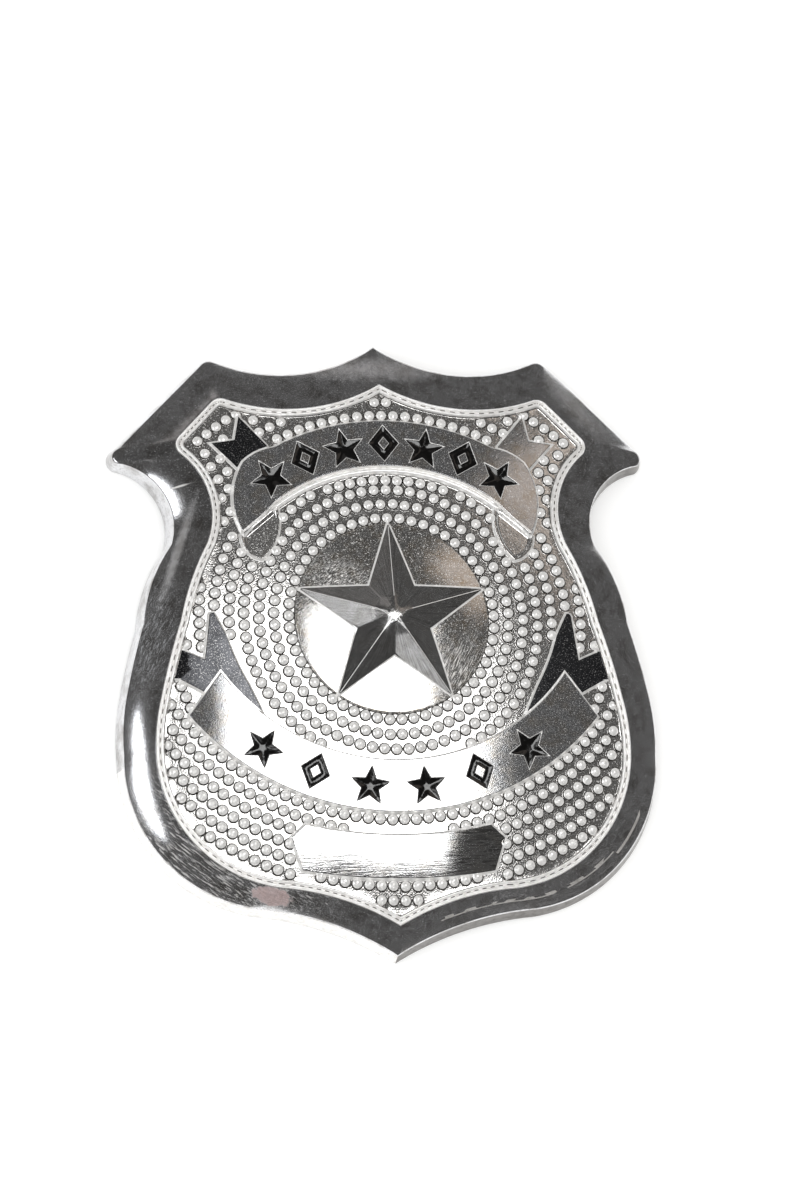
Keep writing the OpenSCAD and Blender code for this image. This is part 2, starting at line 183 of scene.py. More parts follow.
def inset(points, d):  # a clockwise outline moved in by d, its corners mitred
    e1 = points - np.roll(points, 1, axis=0)
    e2 = np.roll(points, -1, axis=0) - points
    n1 = np.stack([e1[:, 1], -e1[:, 0]], 1) / np.linalg.norm(e1, axis=1)[:, None]
    n2 = np.stack([e2[:, 1], -e2[:, 0]], 1) / np.linalg.norm(e2, axis=1)[:, None]
    return points + (n1 + n2) * d / (1 + (n1 * n2).sum(1))[:, None]


def around(centre, r, angle):
    a = np.radians(angle)
    return np.stack([centre[0] + r * np.sin(a), centre[1] + r * np.cos(a)], -1)


def circle(centre, r, count, turn=0.0):
    return around(centre, r, (np.arange(count) + turn) * 360 / count)


def sweep(centre, r, start, end, count=26):
    return around(centre, r, np.linspace(start, end, count + 1))


def far(p, centre=(0, 0)):
    return np.linalg.norm(p - centre, axis=1)


def domeZ(p, lift):
    r = badge["domeRadius"]
    return badge["ground"] - r + np.sqrt((r + lift) ** 2 - p[:, 0] ** 2 - p[:, 1] ** 2)


def depthInside(p, outline):  # distance from an outline, plus inside it and minus outside
    a, e = outline, np.roll(outline, -1, axis=0) - outline
    long = (e**2).sum(1)
    slant = e[:, 0] / np.where(e[:, 1] == 0, 1, e[:, 1])
    found = np.empty(len(p))
    step = max(1, 400000 // len(outline))  # keeps the tables of point against side small
    for k in range(0, len(p), step):
        px, py = p[k : k + step, 0, None], p[k : k + step, 1, None]
        wx, wy = px - a[:, 0], py - a[:, 1]
        t = np.clip((wx * e[:, 0] + wy * e[:, 1]) / long, 0, 1)
        gap = (wx - t * e[:, 0]) ** 2 + (wy - t * e[:, 1]) ** 2
        crosses = ((wy < 0) != (wy < e[:, 1])) & (wx < wy * slant)
        inside = crosses.sum(1) % 2 == 1
        found[k : k + step] = np.sqrt(gap.min(1)) * np.where(inside, 1, -1)
    return found


def soft(t):  # from 0 to 1 with rounded ends
    t = np.clip(t, 0, 1)
    return t * t * (3 - 2 * t)


def between(values, ends):
    return (values > ends[0]) & (values < ends[1])


rimSteps = [row[3] for row in rimRows]
rimLine = whole(rimRows, rimSteps)
borderLine = whole(borderRows, rimSteps)
edgeLine = inset(rimLine, badge["wallLean"])
print("outlines drawn,", len(rimLine), "points round the rim")

# ribbons, lip, curls, tails and plate
ribbon = {
    "height": 0.75,
    "upperRadius": 23.8,
    "upperWidth": 6.2,
    "upperDrop": 4.0,
    "upperAngle": 36.0,
    "upperTurn": 0.77,  # share of that angle at which the outer edge bends toward the end
    "upperSwell": 0.08,
    "lipWidth": 1.0,
    "lipHeight": 0.5,
    "lipPast": 3.5,  # degrees that the lip runs on past the ribbon's ends
    "lowerRadius": 26.7,
    "lowerWidth": 6.7,
    "lowerRise": 8.5,
    "lowerAngle": 55.2,
    "lowerSkew": 3.7,
    "bendFrom": 15.5,  # mm from the middle, beyond which the lower ribbon's ends bend down
    "endBend": 0.004,  # how much their slope grows with each mm
    "tailHeight": 0.4,
    "curlHollow": (0.24, 0.25, 0.5),  # a curl's hollow: depth, rim's width, slope's width
    "plateHeight": 0.6,
    "wall": 0.34,  # width of a relief's sloping side, which the press left rounded
}
upperCentre = (0, -ribbon["upperDrop"])
lowerCentre = (0, ribbon["lowerRise"])
upperIn, lowerIn = ribbon["upperRadius"], ribbon["lowerRadius"]
upperOut, lowerOut = upperIn + ribbon["upperWidth"], lowerIn + ribbon["lowerWidth"]
lipEnd = ribbon["upperAngle"] + ribbon["lipPast"]
upperEndRows = [(0.015, 1.08, 0.14), (0.98, -0.17, 0), (0, 0, 0)]
curlRows = [(0.02, -0.05, 0), (1.02, -0.11, 0.19), (1.00, -0.80, 0.15), (0.02, -0.05, 0)]
upperTailRows = [
    (0.427, 0.2852, 0),
    (0.529, 0.3369, 0),
    (0.549, 0.2961, 0),
    (0.637, 0.2912, 0),
    (0.544, 0.2474, 0),
    (0.420, 0.2504, 0),
    (0.427, 0.2852, 0),
]
lowerTailRows = [
    (0.652, 0.0119, 0.3),
    (0.674, 0.0030, 0),
    (0.695, -0.0626, 0),
    (0.776, -0.0465, 0),
    (0.805, -0.0915, 0),
    (0.709, -0.1153, 0),
    (0.581, -0.1501, 0),
    (0.486, -0.1501, 0),
    (0.532, -0.1063, -0.03),
    (0.610, -0.0248, 0),
    (0.652, 0.0119, 0),
]
plateRows = [
    (0.000, -0.3454, -0.031),
    (0.343, -0.3272, 0),
    (0.398, -0.3479, 0),
    (0.358, -0.4012, 0.026),
    (0.000, -0.4155, 0),
]


def byUpperEnd(rows):  # rows in ribbon widths, along and out from its right inner corner
    a = math.radians(ribbon["upperAngle"])
    corner = around(upperCentre, upperIn, ribbon["upperAngle"])
    along = np.array([math.cos(a), -math.sin(a)])
    outward = np.array([math.sin(a), math.cos(a)])
    places = [corner + ribbon["upperWidth"] * (along * r[0] + outward * r[1]) for r in rows]
    return [(*p, r[2]) for p, r in zip(places, rows)]


def drawUpperRibbon():
    angle = ribbon["upperAngle"]
    outer = sweep(upperCentre, upperOut, 0, angle * ribbon["upperTurn"])
    ends = byUpperEnd(upperEndRows)
    bend = stretch(outer[-1], ends[0][:2], ribbon["upperSwell"], 5)
    half = [outer[:-1], bend, joined(ends, [14, 8])]
    return closed(np.vstack(half + [sweep(upperCentre, upperIn, angle, 0)]))


def drawLowerRibbon():
    end = 180 - ribbon["lowerAngle"]
    inner = sweep(lowerCentre, lowerIn, 180, end, 34)
    outer = sweep(lowerCentre, lowerOut, end + ribbon["lowerSkew"], 180, 34)
    side = stretch(inner[-1], outer[0], 0, 8)[1:]
    return closed(np.vstack([inner, side, outer]))


def bothSides(outline):
    return [outline, (outline * (-1, 1))[::-1]]


upperRibbon = drawUpperRibbon()
lowerRibbon = drawLowerRibbon()
upperTail = joined(onShield(upperTailRows), [7] * 6)
lowerTail = joined(onShield(lowerTailRows), [4, 6, 5, 6, 5, 6, 5, 5, 9, 6])
plate = whole(plateRows, [20, 4, 8, 20])
tails = bothSides(upperTail) + bothSides(lowerTail)
curls = bothSides(joined(byUpperEnd(curlRows), [8, 9, 12]))
flatReliefs = [(upperRibbon, ribbon["height"]), (lowerRibbon, ribbon["height"])]
flatReliefs += [(plate, ribbon["plateHeight"])] + [(t, ribbon["tailHeight"]) for t in tails]
reliefShapes = [shape for shape, height in flatReliefs]

# stars and lozenges sunk in the ribbons
motifs = {
    "upperCount": 7,
    "lowerCount": 6,
    "upperSpread": 33.0,
    "lowerSpread": 34.0,
    "tall": 4.7,
    "lozengeWide": 3.8,
    "stroke": 0.9,
    "waist": 0.45,
    "sunk": 0.25,  # depth of a recess in the ribbon
    "wall": 0.16,
    "reach": 0.7,  # of its height, within which a point may be on a motif
}


def fiveStar(centre, r, waist):  # ten corners, tips and waists in turn
    return np.array([around(centre, waist if i % 2 else r, i * 36) for i in range(10)])


def turned(shape, centre, r, angle):  # a flat shape set upright on a circle round a centre
    a = math.radians(angle)
    spin = np.array([[math.cos(a), -math.sin(a)], [math.sin(a), math.cos(a)]])
    return shape @ spin + around(centre, r, angle)


def drawMotifs():
    tall, wide = motifs["tall"], motifs["lozengeWide"]
    r = tall / (1 + math.cos(math.radians(36)))
    starShape = straightSides(fiveStar((0, tall / 2 - r), r, r * motifs["waist"]), 4)
    outer = np.array([(0, tall / 2), (wide / 2, 0), (0, -tall / 2), (-wide / 2, 0)], float)
    lozenge, hole = (straightSides(c, 7) for c in (outer, inset(outer, motifs["stroke"])))
    found = {"upper": [], "lower": []}
    for row, centre, sign in (("upper", upperCentre, 1), ("lower", lowerCentre, -1)):
        r = sign * (ribbon[row + "Radius"] + ribbon[row + "Width"] / 2)  # the ribbon's middle
        count = motifs[row + "Count"]
        for i in range(count):
            angle = (i / (count - 1) * 2 - 1) * motifs[row + "Spread"] * sign
            starred = min(i, count - 1 - i) % 2 == 0  # stars at both ends of a row
            shapes = [starShape] if starred else [lozenge, hole]
            found[row].append([turned(s, centre, r, angle) for s in shapes])
    return found


motifShapes = drawMotifs()
everyMotif = motifShapes["upper"] + motifShapes["lower"]


def motifDepth(p, shapes):  # depth inside a motif's stroke
    depth = depthInside(p, shapes[0])
    if len(shapes) > 1:
        depth = np.minimum(depth, -depthInside(p, shapes[1]))
    return depth


def nearMotif(p, shapes):
    return far(p, shapes[0].mean(0)) < motifs["tall"] * motifs["reach"]


# disc and star
star = {
    "discRadius": 12.3,
    "discStep": 0.3,
    "discCrown": 0.9,
    "radius": 12.55,
    "waist": 5.0,
    "height": 1.9,
    "edge": 0.15,
    "ridge": 0.09,  # mm that the ridges are rounded over at the tips
    "apex": 0.9,  # mm that they are rounded over at the worn apex
    "apexReach": 3.2,
    "wall": 0.3,
    "backShare": 0.84,  # the star's size as seen on the back
}
discTop = badge["ground"] + star["discCrown"]
groundSag = badge["domeRadius"] - math.sqrt(badge["domeRadius"] ** 2 - star["discRadius"] ** 2)
discSag = star["discCrown"] - star["discStep"] + groundSag
discDomeRadius = (star["discRadius"] ** 2 + discSag**2) / (2 * discSag)
starCorners = fiveStar((0, 0), star["radius"], star["waist"])


def discZ(p):
    return discTop - discDomeRadius + np.sqrt(discDomeRadius**2 - (p**2).sum(1))


def starFacets(p):  # height of the star's ten plane facets over a point
    tip, waist = star["radius"], star["waist"]
    angle = np.degrees(np.arctan2(p[:, 0], p[:, 1])) % 72
    folded = np.radians(np.where(angle > 36, 72 - angle, angle))
    r = far(p)
    u, v = r * np.cos(folded), r * np.sin(folded)  # along an arm, and away from its ridge
    apex = discTop + star["height"]
    tipZ, waistZ = discZ(np.array([[0, tip], [0, waist]])) + star["edge"]
    alongSlope = (tipZ - apex) / tip
    c, s = math.cos(math.radians(36)), math.sin(math.radians(36))
    sideSlope = (waistZ - apex - alongSlope * waist * c) / (waist * s)
    return apex + alongSlope * u + sideSlope * v


def starZ(p):  # the facets' mean over a small ring, which rounds the ridges and the apex
    near = soft(1 - far(p) / star["apexReach"])[:, None]
    blur = star["ridge"] + (star["apex"] - star["ridge"]) * near
    total = starFacets(p) * 2
    for a in range(0, 360, 30):
        total = total + starFacets(p + around((0, 0), 1, a) * blur)
    return total / 14


# pips in rows round the star and beyond each ribbon
pip = {
    "across": 1.52,
    "height": 0.5,
    "pitch": 1.54,
    "row": 1.88,
    "ribbonPitch": 1.56,
    "ribbonRow": 1.8,
    "plateRow": 42.5,  # radius, round the lower ribbon's centre, of the row under the plate
    "plateField": (12.4, -32),  # half its width, and the height that it lies below
    "lipRow": 22.1,  # radius, round the upper ribbon's centre, of the short row under its lip
    "lipSweep": 19.5,  # degrees that this row reaches to each side
    "clear": 0.95,  # mm between the middles of two pips, at the least
    "cut": 0.28,  # mm from a relief to the middle of the nearest pip that it cuts into
    "uneven": 0.05,  # how far a pip's height varies, as a share of it
    "shift": 0.7,  # how far its place varies, as a share of that
    "melt": 0.0012,  # mm2, how softly it meets the ground
}


def placePips():
    fieldLine = inset(borderLine, badge["borderWidth"])
    room = pip["across"] / 2
    end = ribbon["upperAngle"] + 3
    lipSides = [
        sweep(upperCentre, upperIn + ribbon["lipWidth"] / 2, 0, end, 12),
        sweep(upperCentre, upperIn - ribbon["lipWidth"], end, 0, 12),
    ]
    reach = math.hypot(halfWidth, badge["height"] * foot)

    def rows(centre, first, gap, pitch):
        found = []
        for k in range(int((reach - first) / gap) + 1):
            r = first + k * gap
            n = int(2 * math.pi * r / (pip["pitch"] if k == 0 else pitch))
            found.append(around(centre, r, 360 * (np.arange(n) + (k % 2) / 2) / n))
        return np.vstack(found)

    def belowPlate(p):
        return (np.abs(p[:, 0]) < pip["plateField"][0]) & (p[:, 1] < pip["plateField"][1])

    def beyondUpper(p):
        return (p[:, 1] > 0) & (far(p, upperCentre) > upperOut)

    def beyondLower(p):
        return (p[:, 1] < 0) & (far(p, lowerCentre) > lowerOut) & ~belowPlate(p)

    p = rows((0, 0), star["discRadius"] + room, pip["row"], pip["pitch"])
    groups = [p[~beyondUpper(p) & ~beyondLower(p) & ~belowPlate(p)]]
    for centre, first, pitch, wanted in (
        (upperCentre, upperOut + room, pip["pitch"], beyondUpper),
        (lowerCentre, lowerOut + room, pip["ribbonPitch"], beyondLower),
        (lowerCentre, pip["plateRow"], pip["ribbonPitch"], belowPlate),
    ):
        p = rows(centre, first, pip["ribbonRow"], pitch)
        groups.append(p[wanted(p)])
    p = np.vstack(groups)
    underLip = sweep(upperCentre, pip["lipRow"], -pip["lipSweep"], pip["lipSweep"], 10)
    apart = np.linalg.norm(p[:, None] - underLip, axis=2).min(1) > pip["clear"]
    p = np.vstack([p[apart], underLip])
    keep = depthInside(p, fieldLine) > pip["cut"]
    for edge in reliefShapes + curls + [closed(np.vstack(lipSides))]:
        keep &= depthInside(p, edge) < -pip["cut"]
    return p[keep]


pips = placePips()
print(len(pips), "pips placed")
pipLift = np.array([1 + rng.uniform(-1, 1) * pip["uneven"] for p in pips]) * pip["height"]
pipShift = np.array([[rng.uniform(-1, 1), rng.uniform(-1, 1)] for p in pips])
pips = pips + pipShift * pip["uneven"] * pip["shift"]

# the double border line, as shares of its width from its outer edge and of its height
borderRings = [
    (1.06, 0.0), (1.00, 0.06), (0.95, 0.3), (0.90, 0.72), (0.84, 0.94), (0.76, 1.0),
    (0.68, 0.98), (0.60, 0.84), (0.54, 0.62), (0.49, 0.54), (0.44, 0.62), (0.38, 0.84),
    (0.30, 0.98), (0.22, 1.0), (0.14, 0.94), (0.08, 0.72), (0.03, 0.56),
]
bandSteps = [1.0, 0.94, 0.86, 0.76, 0.65, 0.55, 0.47, 0.43, 0.36, 0.28, 0.2, 0.13]
bandSteps += [0.08, 0.05, 0.035, 0.018, 0.006, 0.0]  # from the border line to the rolled edge
wallSteps = (0.9, 0.75, 0.5, 0.25, 0.08)  # shares of the wall's height
wallFeet = ((0.02, 0.05), (0.09, 0.0))  # mm in from the foot's line, and up
backFeet = ((0.09, 0.0), (0.02, 0.05), (0.0, 0.2))  # mm less than the sheet's, and up
backBand = [(0.14, -2.1), (0.19, -1.86), (0.27, -1.62), (0.4, -1.3), (0.6, -0.86), (0.8, -0.55)]
backBand += [(1.0, -0.45)]  # shares of the way to the border line, and lift
backBorder = ((0.5, -0.44), (1.06, -0.5))

# the front's mesh has lines at these shares of a slope's width, or at these mm
faceRows = {
    "relief": (-0.56, -0.28, 0, 0.28, 0.56),
    "curl": (0.34, 0.48, 0.64, 0.78),  # mm inside its outline
    "lip": (-0.04, 0.12, 0.3, 0.5, 0.7, 0.88, 1.04),
    "motif": (-0.6, -0.2, 0.2, 0.6),
    "disc": (-0.56, -0.2, 0.2, 0.56),
    "discRadii": (11.6, 10.8),  # mm
    "ridge": (-0.12, -0.04, 0.04, 0.12),  # mm beside each ridge of the star
    "pip": (0.36, 0.64, 0.84, 0.97, 1.08),
    "gap": 0.8,  # mm between the points that fill what is left
}
backRows = {  # all in mm
    "relief": (0.05, 0.35, 0.65, 0.95),
    "discRadii": (12.4, 12.15, 11.9, 11.6),
    "star": (-0.4, -0.13, 0.13, 0.4),
    "pip": (0.22, 0.5),
    "gap": 1.1,
}
press = {  # mm, where nothing else is said
    "waves": (0.012, 9, 3),  # the ground's unevenness: height, length and seed
    "rimWaves": (14, 11),  # the band's: length and seed
    "rimWavesFull": 14,  # rings over which they grow and fade
    "borderClear": (0.2, 0.1),  # how a pip that runs into the border is cut off
    "lipMargin": 0.1,
    "lipFade": 1.5,  # degrees
    "pipFoot": (0.9, 0.006),  # a pip's reach, and how far the ground sinks inside it
    "rollStart": 0.035,  # share of the band where its outer edge begins to roll over
    "leftToRight": 20,  # over which the rim's roundness changes
}
hollow = {  # the back's rounded impressions, mm
    "reliefSlope": 0.9,
    "pip": (0.28, 0.5),  # depth and radius of the dent behind a pip
    "discMargin": 0.5,
    "discSlope": 0.6,
    "starSlope": 0.8,
    "starSheet": 1.35,  # sheet thicknesses behind the star
    "underRim": 0.9,
}
footLine = inset(borderLine, borderRings[0][0] * badge["borderWidth"])  # the border's inner foot


def lipAngle(p):  # degrees to either side of the peak, round the upper ribbon's centre
    offset = p - upperCentre
    return np.degrees(np.abs(np.arctan2(offset[:, 0], offset[:, 1])))


def nearestPip(p):
    best = np.zeros(len(p), int)
    for start in range(0, len(p), 4000):
        part = p[start : start + 4000]
        d = (part[:, None, 0] - pips[None, :, 0]) ** 2 + (part[:, None, 1] - pips[None, :, 1]) ** 2
        best[start : start + 4000] = d.argmin(1)
    return best


def waves(p, size, seed):  # gentle unevenness of hand-finished dies, from -1 to 1
    k = 2 * math.pi / size
    total = np.zeros(len(p))
    turn = random.Random(seed)
    for i in range(6):
        a, phase, scale = turn.uniform(0, 6.28), turn.uniform(0, 6.28), turn.uniform(0.7, 1.5)
        total += np.sin(k * scale * (p[:, 0] * math.cos(a) + p[:, 1] * math.sin(a)) + phase)
    return total / 6


def reliefLift(p, wall):
    lift = np.zeros(len(p))
    bend = 0.5 * ribbon["endBend"]
    sag = bend * np.maximum(np.abs(p[:, 0]) - ribbon["bendFrom"], 0) ** 2
    for shape, height in flatReliefs:
        top = height - sag if shape is lowerRibbon else height
        if shape is plate:
            top = height - bend * p[:, 0] ** 2
        lift = np.maximum(lift, top * soft(depthInside(p, shape) / wall + 0.5))
    sunk, rim, slope = ribbon["curlHollow"]
    for shape in curls:
        depth = depthInside(p, shape)
        bead = ribbon["tailHeight"] * soft(depth / wall + 0.5)
        lift = np.maximum(lift, bead - sunk * soft((depth - rim) / slope))
    top = upperIn + press["lipMargin"]
    u = np.clip((top - far(p, upperCentre)) / (ribbon["lipWidth"] + press["lipMargin"]), 0, 1)
    ends = soft((lipEnd - lipAngle(p)) / press["lipFade"])
    return np.maximum(lift, ribbon["lipHeight"] * soft(2 * np.minimum(u, 1 - u)) * ends)


def pipShape(p, near):  # height of the nearest pip over a point, with a soft foot
    rho = far(p, pips[near])
    h = pipLift[near]
    r = ((pip["across"] / 2) ** 2 + h * h) / (2 * h)
    cap = np.where(rho < r, np.sqrt(np.maximum(r * r - rho**2, 0)) - (r - h), -1)
    reach, sunk = press["pipFoot"]
    return 0.5 * (cap + np.sqrt(cap**2 + pip["melt"])) - sunk * (rho < reach)


def fieldZ(p, near):  # the pressed face as one height over the plane
    lift = reliefLift(p, ribbon["wall"])
    for shapes in everyMotif:
        close = nearMotif(p, shapes)
        if close.any():
            depth = motifDepth(p[close], shapes)
            lift[close] -= motifs["sunk"] * soft(depth / motifs["wall"] + 0.5)
    width, start = press["borderClear"]
    clear = soft(depthInside(p, footLine) / width + start)
    lift = np.maximum(lift, pipShape(p, near) * clear)
    height, length, seed = press["waves"]
    z = domeZ(p, lift) + height * waves(p, length, seed)
    r = far(p)
    onDisc = soft((star["discRadius"] - r) / star["wall"] + 0.5)
    inner = r < star["discRadius"] + star["wall"]
    z[inner] += onDisc[inner] * (discZ(p[inner]) - z[inner])
    onStar = soft(depthInside(p[inner], starCorners) / star["wall"] + 0.5)
    z[inner] += onStar * (starZ(p[inner]) - z[inner])
    return z


def backZ(p, near):  # the hollow back, where the press left each relief's rounded impression
    sheet = badge["sheet"]
    lift = np.zeros(len(p)) - sheet
    for shape, height in flatReliefs:
        depth = depthInside(p, shape) - sheet
        dent = height * soft(depth / hollow["reliefSlope"] + 0.5)
        lift = np.maximum(lift, dent - sheet)
    deep, wide = hollow["pip"]
    lift = lift + deep * soft(1 - far(p, pips[near]) / wide)
    z = domeZ(p, lift)
    r = far(p)
    inner = r < star["discRadius"] + hollow["discMargin"]
    onDisc = soft((star["discRadius"] - sheet - r[inner]) / hollow["discSlope"] + 0.5)
    z[inner] += onDisc * (discZ(p[inner]) - sheet - z[inner])
    starDepth = depthInside(p[inner], starCorners * star["backShare"])
    onStar = soft(starDepth / hollow["starSlope"] + 0.5)
    z[inner] += onStar * (starZ(p[inner]) - hollow["starSheet"] * sheet - z[inner])
    return z


def usedOnly(coords, faces):  # leaves out the points that no face uses
    used = np.unique(faces)
    order = np.full(len(coords), -1)
    order[used] = np.arange(len(used))
    return coords[used], order


class Lines:  # lines drawn inside a ring, filled with points and joined into triangles
    def __init__(self, ring):
        self.ring = ring
        self.points = [tuple(p) for p in ring]
        self.edges = [(i, (i + 1) % len(ring)) for i in range(len(ring))]

    def add(self, line, loop=True, clear=0.15):  # what comes within clear of the ring is left out
        keep = np.ones(len(line), bool) if clear is None else depthInside(line, self.ring) > clear
        index = np.cumsum(keep) - 1 + len(self.points)
        self.points += [tuple(p) for p in line[keep]]
        n = len(line)
        for i in range(n if loop else n - 1):
            j = (i + 1) % n
            if keep[i] and keep[j]:
                self.edges.append((int(index[i]), int(index[j])))

    def addInsets(self, shapes, distances):
        for shape in shapes:
            for d in distances:
                self.add(inset(shape, d))

    def fill(self, gap):  # a triangular grid, away from what is already there
        size = 0.62 * gap
        taken = set(map(tuple, np.floor(np.array(self.points) / size).astype(int)))
        lo, hi = self.ring.min(0), self.ring.max(0)
        grid = []
        y, odd = lo[1], 0
        while y < hi[1]:
            grid += [(x, y) for x in np.arange(lo[0] + odd * gap / 2, hi[0], gap)]
            y, odd = y + gap * 0.87, 1 - odd
        grid = np.array(grid)
        cells = [(i, j) for i in (-1, 0, 1) for j in (-1, 0, 1)]
        for p in grid[depthInside(grid, self.ring) > 0.5 * gap]:
            cell = np.floor(p / size).astype(int)
            if not any((cell[0] + i, cell[1] + j) in taken for i, j in cells):
                self.points.append(tuple(p))

    def triangles(self):
        out = delaunay_2d_cdt([Vector(p) for p in self.points], self.edges, [], 0, 1e-5)
        coords, faces = np.array([tuple(v) for v in out[0]]), np.array(out[2])
        faces = faces[depthInside(coords[faces].mean(1), self.ring) > 0]
        place = {old: new for new, olds in enumerate(out[3]) for old in olds}
        coords, order = usedOnly(coords, faces)
        return coords, order[faces], order[[place[i] for i in range(len(self.ring))]]


def addPips(lines, radii, count, near, turns):
    for k, p in enumerate(pips):
        edge = depthInside(p[None], lines.ring)[0] < near
        for r in radii:
            lines.add(circle(p, r, count, turns[k]), clear=0.1 if edge else None)
        lines.points.append(tuple(p))


def faceLines(ring):
    lines = Lines(ring)
    lines.addInsets(reliefShapes + curls, [d * ribbon["wall"] for d in faceRows["relief"]])
    lines.addInsets(curls, faceRows["curl"])
    for share in faceRows["lip"]:
        r = upperIn + press["lipMargin"] - share * (ribbon["lipWidth"] + press["lipMargin"])
        lines.add(sweep(upperCentre, r, -lipEnd, lipEnd, 80), loop=False)
    for shapes in everyMotif:
        for shape, sign in zip(shapes, (1, -1)):
            lines.addInsets([shape], [sign * d * motifs["wall"] for d in faceRows["motif"]])
    slope = [share * star["wall"] for share in faceRows["disc"]]
    for d in slope:
        lines.add(circle((0, 0), star["discRadius"] + d, 120))
    for r in faceRows["discRadii"]:
        lines.add(circle((0, 0), r, 100))
    lines.addInsets([straightSides(starCorners, 10)], slope)
    for corner in starCorners:
        way = corner / np.linalg.norm(corner)
        long = stretch(way * 0.0, corner, 0, 16)[1:]
        for d in faceRows["ridge"]:
            lines.add(long + np.array([-way[1], way[0]]) * d, loop=False)
    turns = [rng.uniform(0, 1) for p in pips]
    addPips(lines, [share * pip["across"] / 2 for share in faceRows["pip"]], 12, 1, turns)
    lines.fill(faceRows["gap"])
    return lines


def backLines(ring):
    lines = Lines(ring)
    lines.addInsets(reliefShapes, backRows["relief"])
    for r in backRows["discRadii"]:
        lines.add(circle((0, 0), r, 90))
    lines.addInsets([straightSides(starCorners * star["backShare"], 8)], backRows["star"])
    addPips(lines, backRows["pip"], 8, 0.7, [0.0] * len(pips))
    lines.fill(backRows["gap"])
    return lines


def bandLift(t, p):  # the rim's fall from the border line out to its rolled edge
    right, left = badge["rimRound"]
    curved = right + left * soft(0.5 - p[:, 0] / press["leftToRight"])
    drop = -badge["rimFall"] * (1 - t) * (1 - curved * t)
    rolled = badge["rimRoll"] * np.clip(1 - t / press["rollStart"], 0, 1) ** 2
    return drop - rolled + 0.5 * badge["borderHeight"] * t


def atHeight(line, z):
    return np.column_stack([line, np.broadcast_to(z, len(line))])


def frontRings():  # from the field's edge out over the border and the band, and down the wall
    placed = []
    for f, h in borderRings:
        line = inset(borderLine, f * badge["borderWidth"])
        placed.append(atHeight(line, domeZ(line, h * badge["borderHeight"])))
    for k, t in enumerate(bandSteps):
        line = edgeLine * (1 - t) + borderLine * t
        share = math.sin(math.pi * min(1, (k + 0.3) / press["rimWavesFull"]))
        uneven = badge["rimUneven"] * waves(line, *press["rimWaves"]) * share
        placed.append(atHeight(line, domeZ(line, bandLift(t, line)) + uneven))
    top = placed[-1][:, 2]
    for share in wallSteps:  # the wall leans out to its foot
        placed.append(atHeight(edgeLine * share + rimLine * (1 - share), top * share))
    return placed + [atHeight(inset(rimLine, d), z) for d, z in wallFeet]


def backRings():  # from the wall's foot up inside it and under the band to the hollow's edge
    placed = [atHeight(inset(rimLine, badge["sheet"] - d), z) for d, z in backFeet]
    low, high = inset(rimLine, badge["sheet"]), inset(edgeLine, badge["sheet"])
    lift = domeZ(high, -badge["rimFall"] - hollow["underRim"]) - backFeet[-1][1]
    for share in (0.35, 0.7, 1.0):
        placed.append(atHeight(low * (1 - share) + high * share, backFeet[-1][1] + lift * share))
    under = [(edgeLine * (1 - t) + borderLine * t, lift) for t, lift in backBand]
    under += [(inset(borderLine, f * badge["borderWidth"]), lift) for f, lift in backBorder]
    return placed + [atHeight(line, domeZ(line, lift)) for line, lift in under]


def slopeNormals(height, p, near, sign):
    d = 0.012  # mm to each side
    dx = (height(p + (d, 0), near) - height(p - (d, 0), near)) / (2 * d)
    dy = (height(p + (0, d), near) - height(p - (0, d), near)) / (2 * d)
    n = np.column_stack([-dx, -dy, np.ones(len(p))]) * sign
    return n / np.linalg.norm(n, axis=1)[:, None]


def faceNormalSums(verts, tris):
    a, b, c = verts[tris[:, 0]], verts[tris[:, 1]], verts[tris[:, 2]]
    n = np.cross(b - a, c - a)
    total = np.zeros_like(verts)
    for k in range(3):
        np.add.at(total, tris[:, k], n)
    return total / np.maximum(np.linalg.norm(total, axis=1), 1e-12)[:, None]


def buildMesh(name, verts, faces, normals=None, materials=(), index=None):
    mesh = bpy.data.meshes.new(name)
    placed = (verts + (0, starY, 0)) * mm  # from the star's centre to the shared frame
    mesh.from_pydata(placed.tolist(), [], [tuple(int(i) for i in f) for f in faces])
    for m in materials:
        mesh.materials.append(m)
    if index is not None:
        mesh.polygons.foreach_set("material_index", np.array(index, np.int32))
    mesh.shade_smooth()
    if normals is not None:
        mesh.normals_split_custom_set_from_vertices(normals.tolist())
    mesh.update()
    piece = bpy.data.objects.new(name, mesh)
    scene.collection.objects.link(piece)
    return piece


# each finish's place in plateLooks
(rimZone, groundZone, ribbonZone, plateZone, discZone, starZone, backZone, pipZone, paintedHighlightZone,
 tailZone, paintedShadeZone, creaseHighlightZone) = range(12)
# the border's two crests get painted highlights, and its groove painted shade
borderZones = [groundZone, paintedShadeZone] + [paintedHighlightZone] * 5 + [paintedShadeZone] * 3
borderZones += [paintedHighlightZone] * 5 + [paintedShadeZone]
paintedLightBands = {  # from and to, in mm inside an outline, of the painted highlights along edges and ridges and of the painted shade at the pips' feet
    "relief": (-0.22, 0.1),
    "star": (-0.17, 0.05),
    "motif": (-0.11, 0.0),
    "lip": (0.12, 0.05),  # mm in from its two edges
    "ridge": 0.045,  # mm to each side of a ridge of the star
    "ridgeFrom": 2.6,  # mm from the star's centre
    "pipFoot": 0.02,  # mm up a pip, where its foot's painted shade begins; it ends at pipCap
    "pipCap": 0.2,
    "underRibbon": 0.12,  # mm inside a ribbon, where a tail's own edge and its painted highlight are hidden
}
crease = {  # rows of faces on the rim's lower right that carry a painted highlight along its crease, and where they start
    "row": 25,
    "lowRow": 23,
    "wideRow": 22,
    "low": -29,
    "right": 4,
    "top": -24,
    "wide": (3, 5, 0.1),  # waves that widen it and that break it: length, seed, from
    "broken": (4, 9, -0.45),
}
notchRows = (6, 10)  # rows of faces in the border's groove, between these two, where the die's notches are painted as bright dashes of painted highlight
wallReflectionBelow = -18  # mm, below which the wall's left side gets a painted reflection of the pale floor
